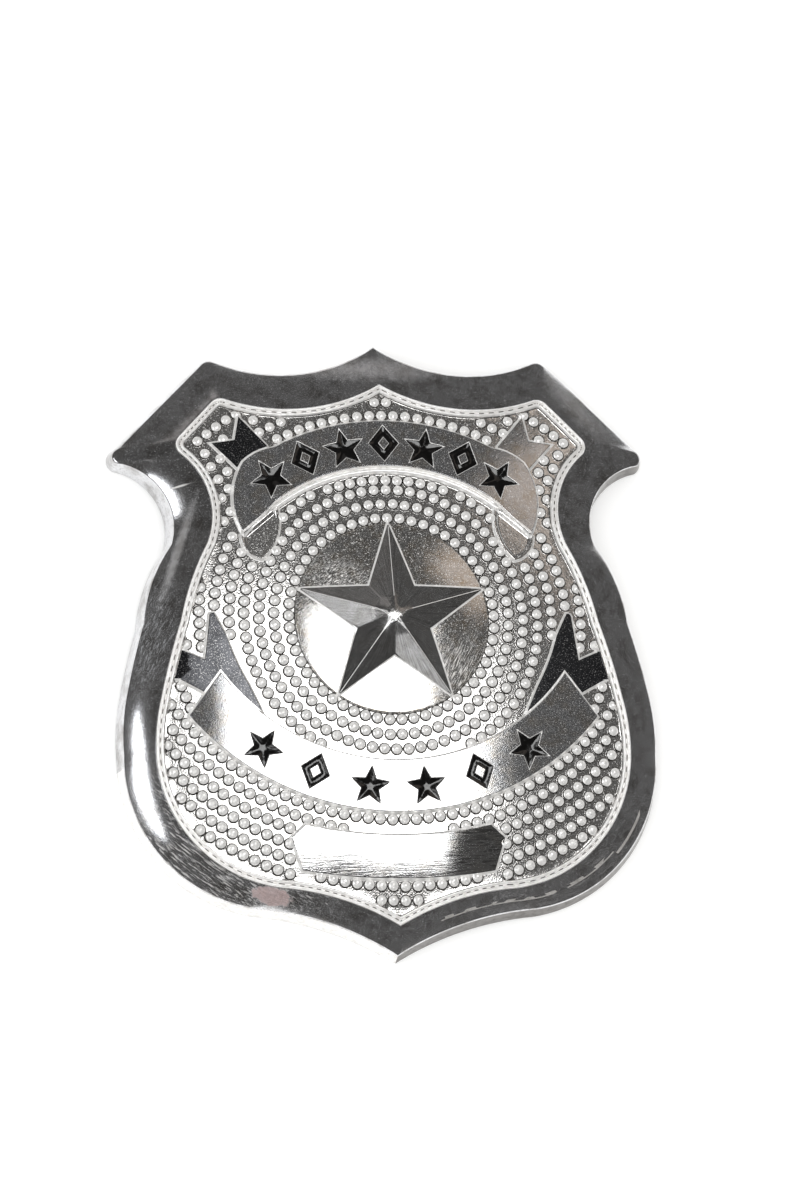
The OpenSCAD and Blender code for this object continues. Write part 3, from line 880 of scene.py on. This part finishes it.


def faceZones(c):  # the finish of each face of the front, from its middle; edges, ridges, the lip and the motifs' outlines get painted highlights, and the pips' feet painted shade
    zone = np.full(len(c), groundZone)
    depths = [depthInside(c, shape) for shape in reliefShapes]
    for depth, kind in zip(depths[:3], (ribbonZone, ribbonZone, plateZone)):
        zone[depth > 0] = kind
    for depth, kind in zip(depths[3:], (ribbonZone, tailZone, tailZone, tailZone)):
        zone[(depth > 0) & (zone == groundZone)] = kind
    zone[far(c) < star["discRadius"]] = discZone
    starDepth = depthInside(c, starCorners)
    zone[starDepth > 0] = starZone
    lift = pipShape(c, nearestPip(c))
    # a ring of painted shade round each pip's foot
    zone[(zone == groundZone) & (lift > paintedLightBands["pipFoot"])] = paintedShadeZone
    zone[(zone == paintedShadeZone) & (lift > paintedLightBands["pipCap"])] = pipZone
    underRibbon = np.maximum(depths[0], depths[1]) > paintedLightBands["underRibbon"]
    for k, depth in enumerate(depths + [depthInside(c, shape) for shape in curls]):
        hidden = underRibbon & (3 <= k < 3 + len(tails))
        zone[(zone != pipZone) & ~hidden & between(depth, paintedLightBands["relief"])] = paintedHighlightZone
    zone[between(starDepth, paintedLightBands["star"])] = paintedHighlightZone
    for corner in starCorners[::2]:
        way = corner / np.linalg.norm(corner)
        along, across = c @ way, c @ np.array([-way[1], way[0]])
        onArm = between(along, (paintedLightBands["ridgeFrom"], star["radius"]))
        zone[onArm & (np.abs(across) < paintedLightBands["ridge"])] = paintedHighlightZone
    inward, outward = paintedLightBands["lip"]
    lip = (upperIn - ribbon["lipWidth"] + inward, upperIn - outward)
    onLip = between(far(c, upperCentre), lip) & (lipAngle(c) < ribbon["upperAngle"] + 3)
    zone[onLip & (zone != pipZone)] = paintedHighlightZone
    for shapes in everyMotif:
        close = np.flatnonzero(nearMotif(c, shapes))
        zone[close[between(motifDepth(c[close], shapes), paintedLightBands["motif"])]] = paintedHighlightZone
    return zone


def ringZones(middle, frontRows, rowCount):  # the finish of each face between two rings, with painted highlights and painted shade on the border and the wall, and a painted highlight along the rim's crease
    row = np.repeat(np.arange(rowCount), 2 * len(rimLine))
    column = np.tile(np.arange(len(rimLine)), 2 * rowCount)
    zoneOfRow = np.full(rowCount, backZone)
    zoneOfRow[:frontRows] = rimZone
    zoneOfRow[: len(borderZones)] = borderZones
    zone = zoneOfRow[row]
    notched = (column % 2 == 0) | (row == notchRows[0] + 1)
    zone[between(row, notchRows) & notched] = paintedHighlightZone
    x, y = middle.T
    wall = (row >= len(borderRings) + len(bandSteps) - 1) & (row < frontRows)
    # the wall's right half gets painted shade
    zone[wall & (x > 0)] = paintedShadeZone
    # the wall's lower left gets a painted reflection of the pale floor
    zone[wall & (x < 0) & (y < wallReflectionBelow)] = paintedHighlightZone
    low = y < crease["low"]
    wide, broken = (waves(middle, n, seed) > v for n, seed, v in (crease["wide"], crease["broken"]))
    highlightedCrease = row == np.where(low, crease["lowRow"], crease["row"])
    highlightedCrease |= (row == crease["wideRow"]) & low & wide
    highlightedCrease &= (x > crease["right"]) & (y < crease["top"]) & broken
    # a painted highlight line along the crease
    zone[highlightedCrease] = creaseHighlightZone
    return zone


def buildSheet(materials):
    front, back = frontRings(), backRings()
    frontXY, frontTris, frontRing = faceLines(front[0][:, :2]).triangles()
    print("front drawn,", len(frontTris), "triangles")
    near = nearestPip(frontXY)
    frontVerts = np.column_stack([frontXY, fieldZ(frontXY, near)])
    frontNormals = slopeNormals(fieldZ, frontXY, near, 1)
    backXY, backTris, backRing = backLines(back[-1][:, :2]).triangles()
    near = nearestPip(backXY)
    backVerts = np.column_stack([backXY, backZ(backXY, near)])
    backNormals = slopeNormals(backZ, backXY, near, -1)
    print("back drawn,", len(backTris), "triangles")

    rings = front[1:] + back[:-1]
    verts = np.vstack([frontVerts] + rings + [backVerts])
    count = len(rimLine)
    start = len(frontVerts) + count * len(rings)  # the back's first point
    rows = [frontRing]
    rows += [len(frontVerts) + k * count + np.arange(count) for k in range(len(rings))]
    rows.append(backRing + start)
    bands = []
    for a, b in zip(rows, rows[1:]):
        a2, b2 = np.roll(a, -1), np.roll(b, -1)
        bands += [np.column_stack([a, a2, b2]), np.column_stack([a, b2, b])]
    bands = np.vstack(bands)
    tris = np.vstack([frontTris, bands, backTris[:, ::-1] + start])
    normals = faceNormalSums(verts, tris)
    for first, ring, own in ((0, frontRing, frontNormals), (start, backRing, backNormals)):
        free = np.setdiff1d(np.arange(len(own)), ring)
        normals[first + free] = own[free]

    middle = verts[tris].mean(1)[:, :2]
    nFront, nBand = len(frontTris), len(bands)
    zones = [
        faceZones(middle[:nFront]),
        ringZones(middle[nFront : nFront + nBand], len(front) - 1, len(rows) - 1),
        np.full(len(backTris), backZone),
    ]
    return buildMesh("PressedSheet", verts, tris, normals, materials, np.concatenate(zones))


def linear(hexCode):  # an sRGB hex value as the linear colour that the shaders take
    values = [int(hexCode[i : i + 2], 16) / 255 for i in (1, 3, 5)]
    return [v / 12.92 if v <= 0.04045 else ((v + 0.055) / 1.055) ** 2.4 for v in values] + [1]


def addNode(tree, kind, settings=None, links=None, out=0):  # gives the new node's output
    node = tree.nodes.new("ShaderNode" + kind)
    for key, value in (settings or {}).items():
        if isinstance(key, int) or key in node.inputs:
            node.inputs[key].default_value = value
        else:
            setattr(node, key, value)
    for key, source in (links or {}).items():
        tree.links.new(source, node.inputs[key])
    return node.outputs[out] if node.outputs else node


def emptied(owner):  # clears the nodes of a material or world, and gives what adds to them
    owner.use_nodes = True
    owner.node_tree.nodes.clear()
    return functools.partial(addNode, owner.node_tree)


def laid(angle, size, at=(0, 0, 0)):  # how a pattern lies: degrees, its size and its middle in mm
    place, scale = ([v * mm for v in values] for values in (at, size))
    turn = (0, 0, math.radians(angle))
    return {"vector_type": "TEXTURE", "Location": place, "Rotation": turn, "Scale": scale}


def roundStar(add, place, r):  # a place as its distance from the star's centre and its turn
    parts = add("SeparateXYZ", links={0: place}).node.outputs
    y = add("Math", {"operation": "SUBTRACT", 1: starY * mm}, {0: parts["Y"]})
    angle = add("Math", {"operation": "ARCTAN2"}, {0: parts["X"], 1: y})
    wide = add("Math", {"operation": "MULTIPLY", 1: r * mm}, {0: angle})
    flat = add("CombineXYZ", links={0: parts["X"], 1: y})
    away = add("VectorMath", {"operation": "LENGTH"}, {0: flat}, "Value")
    return add("CombineXYZ", links={0: away, 1: wide})


def addScratches(add, place, look):  # fine scratches in one direction
    angle, length, gap = look
    along = add("Mapping", laid(angle, (length, gap, gap)), {"Vector": place})
    noise = add("TexNoise", {"Scale": 1.0, "Detail": 3.0, "Roughness": 0.7}, {"Vector": along})
    return add("MapRange", {"From Min": 0.5, "From Max": 0.62}, {"Value": noise})


def addPatch(add, place, patch):  # how far one ragged patch covers, broken up by scratches
    (x, y, z), turn, long, wide, fade, cover, colour, scratches = patch
    moved = add("Mapping", laid(turn, (long, wide, long), (x, y + starY, z)), {"Vector": place})
    ragged = add("TexNoise", {"Scale": 1 / (0.7 * mm), "Detail": 3.0}, {"Vector": place})
    push = add("Math", {"operation": "MULTIPLY_ADD", 1: 0.9, 2: -0.45}, {0: ragged})
    away = add("VectorMath", {"operation": "LENGTH"}, {0: moved}, "Value")
    reach = add("Math", {"operation": "ADD"}, {0: away, 1: push})
    ends = {"From Min": 1 + fade, "From Max": 1 - fade, "To Max": cover}
    mask = add("MapRange", ends, {"Value": reach})
    if scratches:
        both = {0: mask, 1: addScratches(add, place, scratches)}
        mask = add("Math", {"operation": "MULTIPLY"}, both)
    return mask


def platedSteel(name, look):
    material = bpy.data.materials.new(name)
    add = emptied(material)
    place = add("TexCoord", out="Object")
    lined = roundStar(add, place, look["radial"]) if "radial" in look else place
    angle, length, gap, lineDepth = look["lines"]
    brushed = add("Mapping", laid(angle, (length, gap, gap)), {"Vector": lined})
    patterns = {  # scale, detail, roughness
        "lines": (1.0, 3.0, 0.6),
        "grain": (1 / (look["grain"][0] * mm), 2.0, 0.6),
        "mottle": (1 / (look["mottle"][0] * mm), 5.0, 0.62),
    }
    covers = []  # what covers the plating: pattern, from, to, share, colour, and whether it is matt
    if "streak" in look:
        covers.append(("lines", 0.5, 0.64, *look["streak"], False))
    if "fleck" in look:
        fleck, pitted, frosted = look["fleck"]
        patterns["fleck"] = (1 / (fleck * mm), 2.0, 0.7)
        covers.append(("fleck", 0.42, 0.34, pitted, "#2A2928", True))
        covers.append(("fleck", 0.58, 0.66, frosted, "#F4F2EF", True))
    seen = {}
    for key, (scale, detail, roughness) in patterns.items():
        settings = {"Scale": scale, "Detail": detail, "Roughness": roughness}
        seen[key] = add("TexNoise", settings, {"Vector": brushed if key == "lines" else place})
    mottle = {"Value": seen["mottle"]}
    low, high = look["rough"]
    ends = {"From Min": 0.3, "From Max": 0.7, "To Min": low, "To Max": high}
    rough = add("MapRange", ends, mottle)
    worn = add("MapRange", {"From Min": 0.45, "From Max": 0.75}, mottle)
    pair = {"data_type": "RGBA", 6: linear(look["colour"]), 7: linear(look["worn"])}
    colour = add("Mix", pair, {0: worn}, 2)
    layers = [(addPatch(add, place, patch), patch[6], True) for patch in look.get("patches", ())]
    for key, start, end, share, tint, isMatt in covers:
        ends = {"From Min": start, "From Max": end, "To Max": share}
        layers.append((add("MapRange", ends, {"Value": seen[key]}), tint, isMatt))
    metal, plain = None, look.get("metal", 1.0)
    for mask, tint, isMatt in layers:
        colour = add("Mix", {"data_type": "RGBA", 7: linear(tint)}, {0: mask, 6: colour}, 2)
        if isMatt:  # it hides the plating's own reflections
            start = 1.0 if metal else plain
            less = add("Math", {"operation": "MULTIPLY_ADD", 1: -0.9 * start, 2: start}, {0: mask})
            both = {0: metal, 1: less}
            metal = add("Math", {"operation": "MULTIPLY"}, both) if metal else less
    depths = {"mottle": look["mottle"][1], "lines": lineDepth, "grain": look["grain"][1]}
    normal = {}
    for key, depth in depths.items():
        settings = {"Strength": 1.0, "Distance": depth * mm}
        normal = {"Normal": add("Bump", settings, {"Height": seen[key], **normal})}
    links = {"Base Color": colour, "Roughness": rough, **normal}
    if metal:
        links["Metallic"] = metal
    add("OutputMaterial", links={"Surface": add("BsdfPrincipled", {"Metallic": plain}, links)})
    return material


# Each finish has a roughness from and to, and in mm the size and depth of its mottle and grain.
# Lines: angle, length, gap, depth. Fleck: size, how pitted, how frosted. Patches: centre, turn,
# half length, half width, fade, cover, colour, and their scratches' angle, length and gap.
fine = (0, 1.0, 0.4, 0.001)  # lines too faint to give the surface a direction
plateLooks = {
    # nickel gone grey over the rolled rim: fine pitting, scratches from handling at the lower left,
    # and one patch there that is rubbed through to the pinkish copper below
    "NickelPlatedRim": dict(
        colour="#E4E4E6", worn="#9C9996", rough=(0.10, 0.18), mottle=(2.4, 0.006),
        grain=(0.2, 0.004), lines=(20, 3.0, 0.25, 0.003), fleck=(0.16, 0.4, 0.16),
        patches=[
            ((-26.5, 17.7, 6), 10, 1.9, 0.14, 0.4, 0.8, "#E6E4E0", None),
            ((-30, -2, 5), 80, 7, 2.4, 0.5, 0.3, "#AEB6BE", (60, 2.0, 0.2)),
            ((-26.4, 9.5, 6), 70, 6, 0.5, 0.5, 0.4, "#A8A5A2", None),
            ((25.5, 28.8, 5), -50, 5, 1.4, 0.6, 0.22, "#B8B2AC", None),
            ((-22, -29, 4), -30, 13, 9, 0.35, 0.62, "#D2CFCB", (-38, 2.2, 0.22)),
            ((20, -34, 4), 30, 16, 6, 0.5, 0.16, "#B9B4B0", (35, 3.0, 0.25)),
            ((-9, 34.5, 5), -8, 11, 1.6, 0.6, 0.3, "#B4ACA8", None),
            ((10, 35, 5), 9, 11, 1.6, 0.6, 0.26, "#B4ACA8", None),
            ((-16.1, -35.0, 4.5), -14, 2.5, 1.0, 0.1, 0.75, "#A98F8C", None),
        ],
    ),
    # bright nickel on the ground between the pips
    "NickelPlatedGround": dict(
        colour="#E2E1DF", worn="#CFCCC8", rough=(0.05, 0.12), metal=0.92, mottle=(0.8, 0.01),
        grain=(0.2, 0.006), lines=fine, fleck=(0.28, 0.4, 0.6),
    ),
    # satin nickel on the ribbons, brushed along them and finely pitted
    "SatinNickelRibbon": dict(
        colour="#D2D3D5", worn="#C4BCB0", rough=(0.05, 0.1), metal=0.93, mottle=(1.8, 0.004),
        grain=(0.14, 0.003), lines=(35, 2.5, 0.2, 0.002), fleck=(0.15, 0.5, 0.5),
    ),
    # brushed nickel on the blank plate, with dark scratches along it
    "BrushedNickelPlate": dict(
        colour="#D9D9D9", worn="#C6C2BC", rough=(0.05, 0.1), mottle=(2.0, 0.003),
        grain=(0.14, 0.002), lines=(2, 4.0, 0.2, 0.004), streak=(0.7, "#5A5A5A"),
        fleck=(0.16, 0.3, 0.1),
    ),
    # polished nickel on the crowned disc, pitted and scratched across
    "PolishedNickelDisc": dict(
        colour="#DAD9D7", worn="#C8BCAA", rough=(0.05, 0.1), metal=0.95, mottle=(1.4, 0.004),
        grain=(0.13, 0.004), lines=(28, 2.5, 0.15, 0.005), fleck=(0.16, 0.6, 0.8),
        patches=[
            ((-6.5, 5, 9), -25, 4.6, 2.2, 0.6, 1.0, "#F6F4F1", (28, 0.5, 0.1)),
            ((7.5, -7, 9), 55, 4.5, 2.4, 0.6, 1.0, "#F2EFEB", (62, 1.6, 0.12)),
        ],
    ),
    # brushed nickel on the star's facets, its lines running out from the centre
    "BrushedNickelStar": dict(
        colour="#D6D6D6", worn="#C4C2BF", rough=(0.14, 0.22), mottle=(2.0, 0.003),
        grain=(0.2, 0.003), radial=12, lines=(0, 6.0, 0.22, 0.008), streak=(0.5, "#6A6A6A"),
        fleck=(0.15, 0.25, 0.2),
    ),
    # the unseen back: dull nickel strike straight over the pressing
    "DullNickelBack": dict(
        colour="#B9B8B4", worn="#9C978E", rough=(0.26, 0.42), mottle=(2.5, 0.015),
        grain=(0.25, 0.004), lines=(60, 4.0, 0.3, 0.003),
    ),
    # frosted nickel on the pips: the plating on these high spots is etched and looks near white
    "FrostedNickelPips": dict(
        colour="#FDFCFA", worn="#F2F0ED", rough=(0.06, 0.11), metal=0.42, mottle=(0.5, 0.02),
        grain=(0.2, 0.012), lines=fine, fleck=(0.26, 0.4, 1.0),
    ),
    # near-white nickel as painted highlights: on the double border line, notched by the die, on the
    # reliefs' edges, the star's ridges, the lip and the motifs' outlines, and as a painted
    # reflection of the pale floor on the wall's lower left
    "PaintedHighlightEdges": dict(
        colour="#FDFCFA", worn="#DDDAD6", rough=(0.08, 0.16), metal=0.42, mottle=(0.6, 0.02),
        grain=(0.3, 0.015), lines=fine,
    ),
    # dark grey satin nickel on the folded tails, which lie low beside the ribbons
    "SatinNickelTails": dict(
        colour="#424346", worn="#343537", rough=(0.1, 0.18), metal=0.85, mottle=(1.8, 0.004),
        grain=(0.14, 0.003), lines=(50, 2.5, 0.2, 0.003), fleck=(0.16, 0.3, 0.35),
    ),
    # darker nickel as painted shade: it darkens the pips' feet, the border's groove and the wall's
    # right half
    "PaintedShadeRecess": dict(
        colour="#7E7B78", worn="#5E5B58", rough=(0.16, 0.3), mottle=(0.8, 0.006),
        grain=(0.2, 0.004), lines=fine,
    ),
    # lighter nickel as a painted highlight along the crease of the rim's lower right
    "PaintedHighlightCrease": dict(
        colour="#D8D5D1", worn="#7E7B78", rough=(0.2, 0.34), metal=0.55, mottle=(0.9, 0.01),
        grain=(0.2, 0.006), lines=fine,
    ),
}
plated = [platedSteel(name, look) for name, look in plateLooks.items()]
print("plated finishes made")

sheet = buildSheet(plated)
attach(sheet, "root")
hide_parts("shield")
print("sheet built,", len(sheet.data.polygons), "triangles")

enamel = {
    "edge": 0.03,  # mm below the ribbon's face where the enamel meets the recess
    "slope": 0.26,  # it sinks toward the middle of a stroke, where the paint ran
    "flatFrom": 0.75,
    "gap": 0.02,
    "floor": 0.235,
    "rows": (0.07, 0.13),  # mm inside a stroke where its mesh has lines
    "colour": "#0B0A0A",
    "dust": 0.3,  # mm between the dust specks dried into the gloss
}


def glossEnamel():  # baked gloss enamel, black and wet-looking with a little dust in it
    material = bpy.data.materials.new("GlossBlackEnamel")
    add = emptied(material)
    place = {"Vector": add("TexCoord", out="Object")}
    dust = add("TexNoise", {"Scale": 1 / (enamel["dust"] * mm), "Detail": 3.0}, place)
    ends = {"From Min": 0.35, "From Max": 0.7, "To Min": 0.08, "To Max": 0.24}
    bump = add("Bump", {"Strength": 1.0, "Distance": 0.006 * mm}, {"Height": dust})
    links = {"Roughness": add("MapRange", ends, {"Value": dust}), "Normal": bump}
    paint = {"Base Color": linear(enamel["colour"]), "IOR": 1.5}
    paint.update({"Coat Weight": 0.5, "Coat Roughness": 0.08})
    add("OutputMaterial", links={"Surface": add("BsdfPrincipled", paint, links)})
    return material


def buildEnamel(name, shapesInRow, material):
    verts, faces, total = [], [], 0
    for shapes in shapesInRow:
        lines = Lines(inset(shapes[0], enamel["gap"]))
        drawn = [inset(shapes[0], d) for d in enamel["rows"]]
        for hole in shapes[1:]:
            drawn += [inset(hole, -d) for d in (enamel["gap"], *enamel["rows"])]
        for line in drawn:
            lines.add(line, clear=0.02)
        lines.fill(0.2)
        xy, tris, ring = lines.triangles()
        for hole in shapes[1:]:
            tris = tris[depthInside(xy[tris].mean(1), inset(hole, -enamel["gap"])) < 0]
            xy, order = usedOnly(xy, tris)
            tris = order[tris]
        deep = enamel["slope"] * np.minimum(motifDepth(xy, shapes), enamel["flatFrom"])
        top = ribbon["height"] - enamel["edge"] - deep
        low = ribbon["height"] - enamel["floor"]
        verts += [np.column_stack([xy, domeZ(xy, lift)]) for lift in (top, low)]
        n = len(xy)
        edges = {(int(t[i]), int(t[(i + 1) % 3])): True for t in tris for i in range(3)}
        sides = [(a, b) for a, b in edges if (b, a) not in edges]
        faces += [[i + total for i in t] for t in tris]
        faces += [[i + n + total for i in t[::-1]] for t in tris]
        faces += [[b + total, a + total, a + n + total, b + n + total] for a, b in sides]
        total += 2 * n
    return buildMesh(name, np.vstack(verts), faces, None, [material])


black = glossEnamel()
for name, row in (("UpperEnamel", "upper"), ("LowerEnamel", "lower")):
    piece = buildEnamel(name, motifShapes[row], black)
    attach(piece, "root")
    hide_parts(row + "_enamel")
print("enamel laid")

# the bar pin on the back
pin = {
    "rise": 8,  # mm above the star's centre
    "length": 34,
    "width": 4.6,
    "thick": 0.7,
    "barZ": 6.03,
    "wire": 1.0,
    "wireZ": 3.63,
    "barrel": 2.4,
    "hook": 2.8,
    "hookWidth": 2.0,
    "hookTurn": (90, 400),  # degrees that the hook bends round the wire, from and to
    "hookTop": 0.4,  # how far its post reaches down into it
    "hookBevel": 0.1,
    "postSink": 0.05,
    "tip": 2.0,
    "bevel": 0.12,
}


def loft(rings):  # closed rings of equal length joined into one solid with flat ends
    n = len(rings[0])
    faces = [list(range(n))[::-1], [len(rings) * n - n + i for i in range(n)]]
    for k in range(0, (len(rings) - 1) * n, n):
        faces += [[k + i, k + (i + 1) % n, k + n + (i + 1) % n, k + n + i] for i in range(n)]
    return np.vstack(rings), faces


def disk(centre, r, axis, place, count=40):  # a ring round an axis, at a place along it
    a = np.arange(count) * 2 * math.pi / count
    ring = np.zeros((count, 3))
    u, v = [(1, 2), (2, 0), (0, 1)][axis]
    ring[:, u], ring[:, v] = r * np.cos(a), r * np.sin(a)
    ring += np.array(centre, float)
    ring[:, axis] += place
    return ring


def buildPin(material):
    bevel, thick, wire, wide = pin["bevel"], pin["thick"], pin["wire"], pin["hookWidth"] / 2
    postX, half = pin["length"] / 2 - pin["width"] / 2, pin["width"] / 2
    barrelAt = (-postX, 0, pin["wireZ"])
    a = np.radians(np.arange(0, 180, 9) - 90)
    cap = np.stack([postX + half * np.cos(a), half * np.sin(a)], 1)
    stadium = np.vstack([cap, -cap])[::-1]
    bar = []
    for z, d in ((0, bevel), (bevel, 0), (thick - bevel, 0), (thick, bevel)):
        flat = inset(stadium, d)[::-1]
        bar.append(np.column_stack([flat, np.full(len(flat), pin["barZ"] + z)]))
    solids = [loft(bar)]
    for x, r in ((-postX, pin["barrel"] / 2), (postX, pin["hook"] / 2)):
        corners = [(-wire / 2, -wide), (wire / 2, -wide), (wire / 2, wide), (-wire / 2, wide)]
        post = np.array(corners) + (x, 0)
        low = pin["wireZ"] + (0 if x < 0 else r - pin["hookTop"])
        top = pin["barZ"] + pin["postSink"]
        solids.append(loft([np.column_stack([post, np.full(4, z)]) for z in (low, top)]))
    r = pin["barrel"] / 2
    steps = ((-wide, r - bevel), (bevel - wide, r), (wide - bevel, r), (wide, r - bevel))
    solids.append(loft([disk(barrelAt, size, 1, place) for place, size in steps]))
    run = 2 * postX - wire
    ends = ((0, wire / 2), (run, wire / 2), (run + pin["tip"], wire / 8))
    solids.append(loft([disk(barrelAt, r, 0, place, 24) for place, r in ends]))
    outer, inner = pin["hook"] / 2, (pin["hook"] - wire) / 2
    d = pin["hookBevel"]
    corners = [(inner, -wide), (inner, wide), (outer - d, wide)]
    corners += [(outer, wide - d), (outer, d - wide), (outer - d, -wide)]
    hook = []
    for a in np.radians(np.linspace(*pin["hookTurn"], 52)):
        way = np.array([math.cos(a), 0, math.sin(a)])
        hook.append(np.array([way * r + (postX, y, pin["wireZ"]) for r, y in corners]))
    solids.append(loft(hook))
    verts, faces, total = [], [], 0
    for points, sides in solids:
        verts.append(points + (0, pin["rise"], 0))
        faces += [[i + total for i in side] for side in sides]
        total += len(points)
    piece = buildMesh("BarPin", np.vstack(verts), faces, None, [material])
    piece.data.shade_flat()
    for polygon in piece.data.polygons:  # round parts are smooth, flats and ends aren't
        polygon.use_smooth = len(polygon.vertices) == 4 and polygon.area < 2.2 * mm * mm
    return piece


# strip and wire drawn through a die, so the lines run along them
pinLook = dict(
    colour="#B4B4B2", worn="#8F8A82", rough=(0.2, 0.34), mottle=(2.0, 0.01),
    grain=(0.2, 0.003), lines=(4, 5.0, 0.2, 0.006),
)
piece = buildPin(platedSteel("PlatedSpringSteelPin", pinLook))
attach(piece, "root")
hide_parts("pin")
print("pin built")

# floor, world and lights
studio = {
    "floorSize": 3.0,  # m from its middle
    "floorColour": "#F4F4F3",
    "floorGlow": 0.2,
    "skyDark": "#454443",
    "skyPale": "#545352",
    "skyBand": (0.55, 0.75),
    "backdrop": "#FDFDFD",
    "tent": "#EEEEEE",  # the pale tent round the table, which evens out the light on matt surfaces
}


def makeFloor():
    size = studio["floorSize"]
    mesh = bpy.data.meshes.new("Floor")
    corners = [(-size, -size, 0), (size, -size, 0), (size, size, 0), (-size, size, 0)]
    mesh.from_pydata(corners, [], [(0, 1, 2, 3)])
    floor = bpy.data.objects.new("Floor", mesh)
    scene.collection.objects.link(floor)
    material = bpy.data.materials.new("WhitePaper")
    add = emptied(material)
    paper = {
        "Base Color": linear(studio["floorColour"]),
        "Roughness": 0.9,
        "Emission Color": linear("#FFFFFF"),
        "Emission Strength": studio["floorGlow"],
    }
    add("OutputMaterial", links={"Surface": add("BsdfPrincipled", paper)})
    mesh.materials.append(material)
    floor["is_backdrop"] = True


def makeWorld():  # a dark room for reflections, the tent for matt surfaces, white for the camera
    scene.world = bpy.data.worlds.new("Studio")
    add = emptied(scene.world)
    height = add("SeparateXYZ", links={0: add("TexCoord", out="Generated")}, out="Z")
    ramp = add("ValToRGB", links={"Fac": height})
    for k, key in enumerate(("skyPale", "skyDark")):
        ramp.node.color_ramp.elements[k].position = studio["skyBand"][k]
        ramp.node.color_ramp.elements[k].color = linear(studio[key])
    seen = add("Background", {"Strength": 1.0}, {"Color": ramp})
    for key, ray in (("tent", "Is Diffuse Ray"), ("backdrop", "Is Camera Ray")):
        glow = add("Background", {"Color": linear(studio[key]), "Strength": 1.0})
        seen = add("MixShader", links={0: add("LightPath", out=ray), 1: seen, 2: glow})
    add("OutputWorld", links={"Surface": seen})


# each softbox: the direction it lies in from the badge, 1 m away, its width and height in
# metres, its turn, brightness, colour and shape
softboxes = {
    "Overhead": ((0.10, 0.10), (0.38, 0.35), 45, 5.0, "#FFFFFF", "RECTANGLE"),
    "LeftWindow": ((-0.875, -0.09), (0.78, 0.24), 0, 3.5, "#FAFCFF", "ELLIPSE"),
    "FrontFill": ((-0.30, -0.45), (0.45, 0.36), 0, 0.9, "#FFFFFF", "RECTANGLE"),
    "ApexCard": ((-0.30, -0.14), (0.14, 0.2), 30, 3.0, "#FFFFFF", "ELLIPSE"),
    "BackCard": ((-0.22, 0.76), (0.5, 0.36), 0, 0.2, "#FFF8F4", "ELLIPSE"),
    "WarmCard": ((0.45, 0.41), (0.22, 0.28), 0, 0.55, "#FFEEE0", "RECTANGLE"),
}


def makeSoftbox(name, toward, size, turn, bright, colour, shape):
    x, y = toward
    way = Vector((x, y, math.sqrt(1 - x * x - y * y)))
    data = bpy.data.lights.new(name, "AREA")
    data.shape = shape
    data.size, data.size_y = size
    area = data.size * data.size_y * (math.pi / 4 if shape == "ELLIPSE" else 1)
    data.energy = bright * math.pi * area  # radiance to watts
    data.color = linear(colour)[:3]
    lamp = bpy.data.objects.new(name, data)
    aim = way.to_track_quat("Z", "Y").to_matrix().to_4x4()
    lamp.matrix_world = Matrix.Translation(way) @ aim @ Matrix.Rotation(math.radians(turn), 4, "Z")
    scene.collection.objects.link(lamp)


makeFloor()
makeWorld()
for name, box in softboxes.items():
    makeSoftbox(name, *box)
print("studio lit")

boxes = {"cad": cadBox, "visual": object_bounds()}
{k: [list(v) for v in b] for k, b in boxes.items()}
